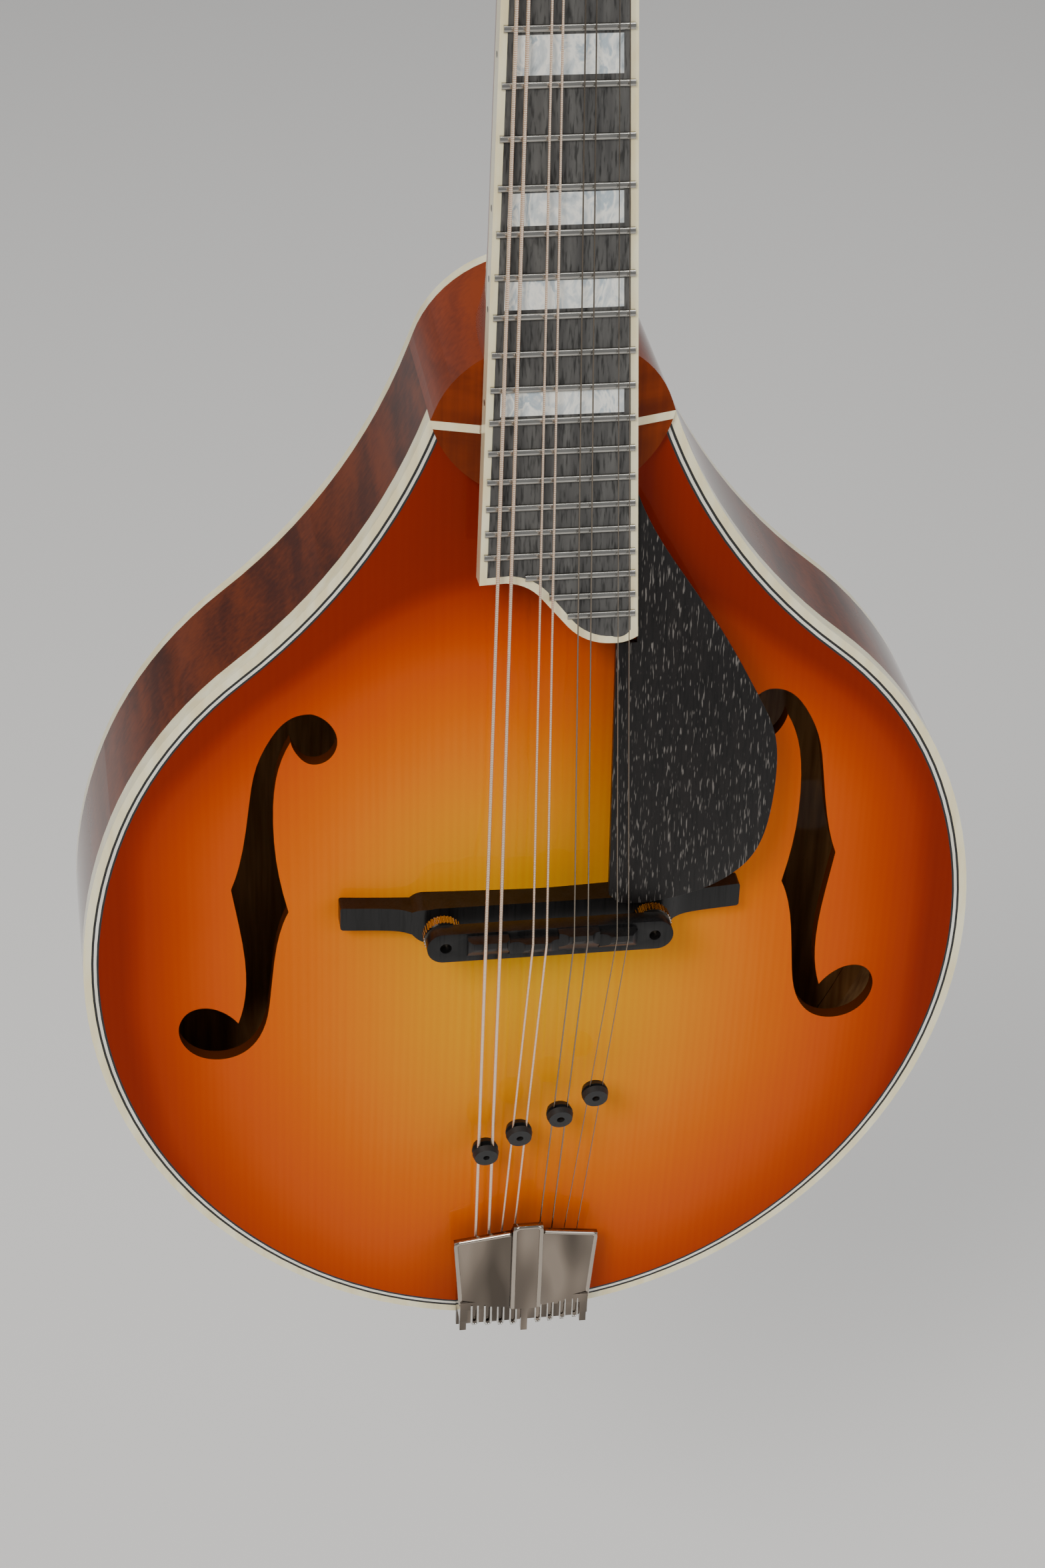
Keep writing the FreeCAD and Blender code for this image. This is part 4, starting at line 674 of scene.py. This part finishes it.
# string ends looped round the comb of the tailpiece
loopSizes = {"low": 0.0116, "high": 0.0188, "forward": -0.0340, "crown": 0.0019,
             "halfWidth": 0.0199, "lean": 0.0004, "gap": 0.00060, "bend": 0.9}
# the two places of each course across the cover, and the thickness of the loop
loopPlaces = {"g": (-0.0152, -0.0112, 0.00036), "d": (-0.0073, -0.0035, 0.00030),
              "a": (0.0042, 0.0080, 0.00024), "e": (0.0119, 0.0158, 0.00020)}
for word, (first, second, wire) in loopPlaces.items():
    spots, edges = [], []
    half = loopSizes["gap"] + wire
    for x in (first, second):
        front = loopSizes["forward"] - loopSizes["crown"] * (1 - abs(x) / loopSizes["halfWidth"])
        lean = front + loopSizes["lean"]
        start = len(spots)
        spots += [(x - half, lean, loopSizes["high"]), (x - half, front, loopSizes["low"]),
                  (x + half, front, loopSizes["low"]), (x + half, lean, loopSizes["high"])]
        edges += [(start + k, start + k + 1) for k in range(3)]
    ends = runTree(rod, rodSockets, {
        "Radius": wire, "Corner": loopSizes["gap"] + wire * loopSizes["bend"],
        "Material": hookWire},
        f"stringEnds_{word}", spots, edges)
    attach(ends, "body")
print("string ends looped")

# rolled rim of the tailpiece cover
rimSizes = {"radius": 0.00075, "corner": 0.0016}
rimRuns = [[(-0.0194, -0.0331, 0.0190), (-0.0214, -0.0329, 0.0431), (-0.0052, -0.0352, 0.0473)],
           [(0.0052, -0.0352, 0.0473), (0.0214, -0.0329, 0.0431), (0.0194, -0.0331, 0.0190)],
           [(-0.0040, -0.0365, 0.0190), (-0.0040, -0.0365, 0.0507), (0.0040, -0.0365, 0.0507),
            (0.0040, -0.0365, 0.0190)]]
for index, run in enumerate(rimRuns):
    rim = runTree(rod, rodSockets, {"Radius": rimSizes["radius"], "Corner": rimSizes["corner"],
                                    "Material": nickel}, f"coverRim_{index + 1}", run,
                  [(k, k + 1) for k in range(len(run) - 1)])
    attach(rim, "body")
print("cover rim rolled")


# edges eased on cast and sawn pieces
easeSizes = {"flatAngle": 0.6, "cornerAngle": 32, "smoothAngle": 24, "segments": 2}
easedWidths = {"tailpiece": 0.00035, "bridge_saddle": 0.0004, "nut": 0.0002, "pickguard": 0.0003,
               "truss_rod_cover": 0.0003, "strap_button": 0.0004}


def eased(name, width, body):
    piece = copyOf(name, name + "Eased")
    work = openMesh(piece)
    bmesh.ops.dissolve_limit(work, angle_limit=math.radians(easeSizes["flatAngle"]),
                             verts=work.verts, edges=work.edges)
    sharp = [edge for edge in work.edges if len(edge.link_faces) == 2
             and edge.calc_face_angle(0) > math.radians(easeSizes["cornerAngle"])]
    bmesh.ops.bevel(work, geom=sharp, offset=width, offset_type="OFFSET",
                    segments=easeSizes["segments"], profile=0.5, affect="EDGES", clamp_overlap=True)
    sharpCount = len(sharp)
    openCount = closeMesh(work, piece, easeSizes["smoothAngle"])
    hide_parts(name)
    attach(piece, body)
    print("eased", name, "edges", sharpCount, "open", openCount)


for name, width in easedWidths.items():
    eased(name, width, "saddle" if name == "bridge_saddle" else "body")

# black, white and black lines inside the top binding
purfling = copyOf("top_purfling", "purflingLines")
purfling.data.materials.clear()
purfling.data.materials.append(blackLine)
purfling.data.materials.append(whiteLine)
openEdges, ring = set(), 0
microns = 1e6  # corners are matched to the nearest micron
for face in purfling.data.polygons:
    face.material_index = 1 if ring == 1 else 0
    corners = [tuple(round(c * microns) for c in purfling.data.vertices[v].co)
               for v in face.vertices]
    for first, second in zip(corners, corners[1:] + corners[:1]):
        if (second, first) in openEdges:
            openEdges.remove((second, first))
        else:
            openEdges.add((first, second))
    if not openEdges:
        ring += 1  # a whole line is closed, so the next face starts another
print("purfling lines", ring)
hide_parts("top_purfling")
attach(purfling, "body")


# strings cut in two at the crest of the saddle, each cut closed
bendSizes = {"coverEdge": (0, -0.04, 0.0455), "crest": (0, -0.04, 0.1715),
             "nut": (0, -0.04, 0.5250), "cutWithin": 1e-7, "smoothAngle": 40}


def freeCopy(name, title):
    piece = copyOf(name, title)
    bpy.context.view_layer.update()
    place = piece.matrix_world.copy()
    piece.parent = None
    piece.matrix_world = place
    return piece


def cutString(name, title, lowPart):
    piece = freeCopy(name, title)
    bpy.context.view_layer.update()
    piece.data.transform(piece.matrix_world)
    piece.matrix_world = Matrix.Identity(4)
    work = openMesh(piece)
    bmesh.ops.bisect_plane(work, geom=work.verts[:] + work.edges[:] + work.faces[:],
                           dist=bendSizes["cutWithin"], plane_co=(0, 0, bendSizes["crest"][2]),
                           plane_no=(0, 0, 1), clear_outer=lowPart, clear_inner=not lowPart)
    rim = [edge for edge in work.edges if len(edge.link_faces) == 1]
    bmesh.ops.holes_fill(work, edges=rim, sides=0)
    closeMesh(work, piece, bendSizes["smoothAngle"])
    return piece


for word in ("g", "d", "a", "e"):
    name = "strings_" + word
    tailEnd = cutString(name, f"tailStrings_{word}", True)
    playing = cutString(name, f"playingStrings_{word}", False)
    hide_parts(name)
    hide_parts(name)
    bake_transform(tailEnd)
    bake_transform(playing)
dampers = freeCopy("string_dampers", "stringDampers")
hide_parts("string_dampers")
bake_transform(dampers)

# floor, light and camera
stageSizes = {"floorHeight": -0.30, "floorSize": 40.0, "floorColour": (0.80, 0.79, 0.77, 1),
              "floorRoughness": 0.8, "worldColour": (0.93, 0.94, 0.96, 1), "worldStrength": 0.36}
bpy.ops.mesh.primitive_plane_add(size=stageSizes["floorSize"],
                                 location=(0, 0, stageSizes["floorHeight"]))
floor = bpy.context.object
floor.name = "studioFloor"
floorMaterial, _, floorShader = newMaterial("paleFloor")
floorShader.inputs["Base Color"].default_value = stageSizes["floorColour"]
floorShader.inputs["Roughness"].default_value = stageSizes["floorRoughness"]
floor.data.materials.append(floorMaterial)

lightSizes = {
    "key": {"spot": (-1.0, -1.5, 1.7), "size": 0.8, "power": 35.0, "colour": (1.0, 0.97, 0.93)},
    "fill": {"spot": (1.6, -1.3, 0.9), "size": 1.2, "power": 12.0, "colour": (0.95, 0.97, 1.0)},
    "top": {"spot": (0.2, 0.4, 2.3), "size": 1.2, "power": 24.0, "colour": (1.0, 0.99, 0.97)},
}
lightAim = (0, 0, 0.25)


def addLight(name, spot, size, power, colour):
    lamp = bpy.data.lights.new(name, "AREA")
    lamp.shape = "SQUARE"
    lamp.size = size
    lamp.energy = power
    lamp.color = colour
    item = bpy.data.objects.new(name, lamp)
    item.location = spot
    item.rotation_euler = (Vector(lightAim) - Vector(spot)).to_track_quat("-Z", "Y").to_euler()
    bpy.context.scene.collection.objects.link(item)


for name, settings in lightSizes.items():
    addLight(name, **settings)
world = bpy.data.worlds.new("studio")
world.use_nodes = True
background = world.node_tree.nodes["Background"]
background.inputs["Color"].default_value = stageSizes["worldColour"]
background.inputs["Strength"].default_value = stageSizes["worldStrength"]
bpy.context.scene.world = world

cameraView = {"spot": (-0.13769, -0.79467, 0.71827), "view": (0.1421, 0.82241, -0.55086),
              "up": (0.05825, 0.54859, 0.83406), "lens": 77.41, "sensor": 36.0, "near": 0.01,
              "far": 100.0}
lens = bpy.data.cameras.new("mainCamera")
lens.lens = cameraView["lens"]
lens.sensor_width = cameraView["sensor"]
lens.clip_start = cameraView["near"]
lens.clip_end = cameraView["far"]
lens.dof.use_dof = False
camera = bpy.data.objects.new("mainCamera", lens)
back = -Vector(cameraView["view"]).normalized()
up = Vector(cameraView["up"]).normalized()
right = up.cross(back).normalized()
up = back.cross(right)
turn = Matrix((right, up, back)).transposed().to_4x4()
camera.matrix_world = Matrix.Translation(Vector(cameraView["spot"])) @ turn
bpy.context.scene.collection.objects.link(camera)
bpy.context.scene.camera = camera
print("studio ready")
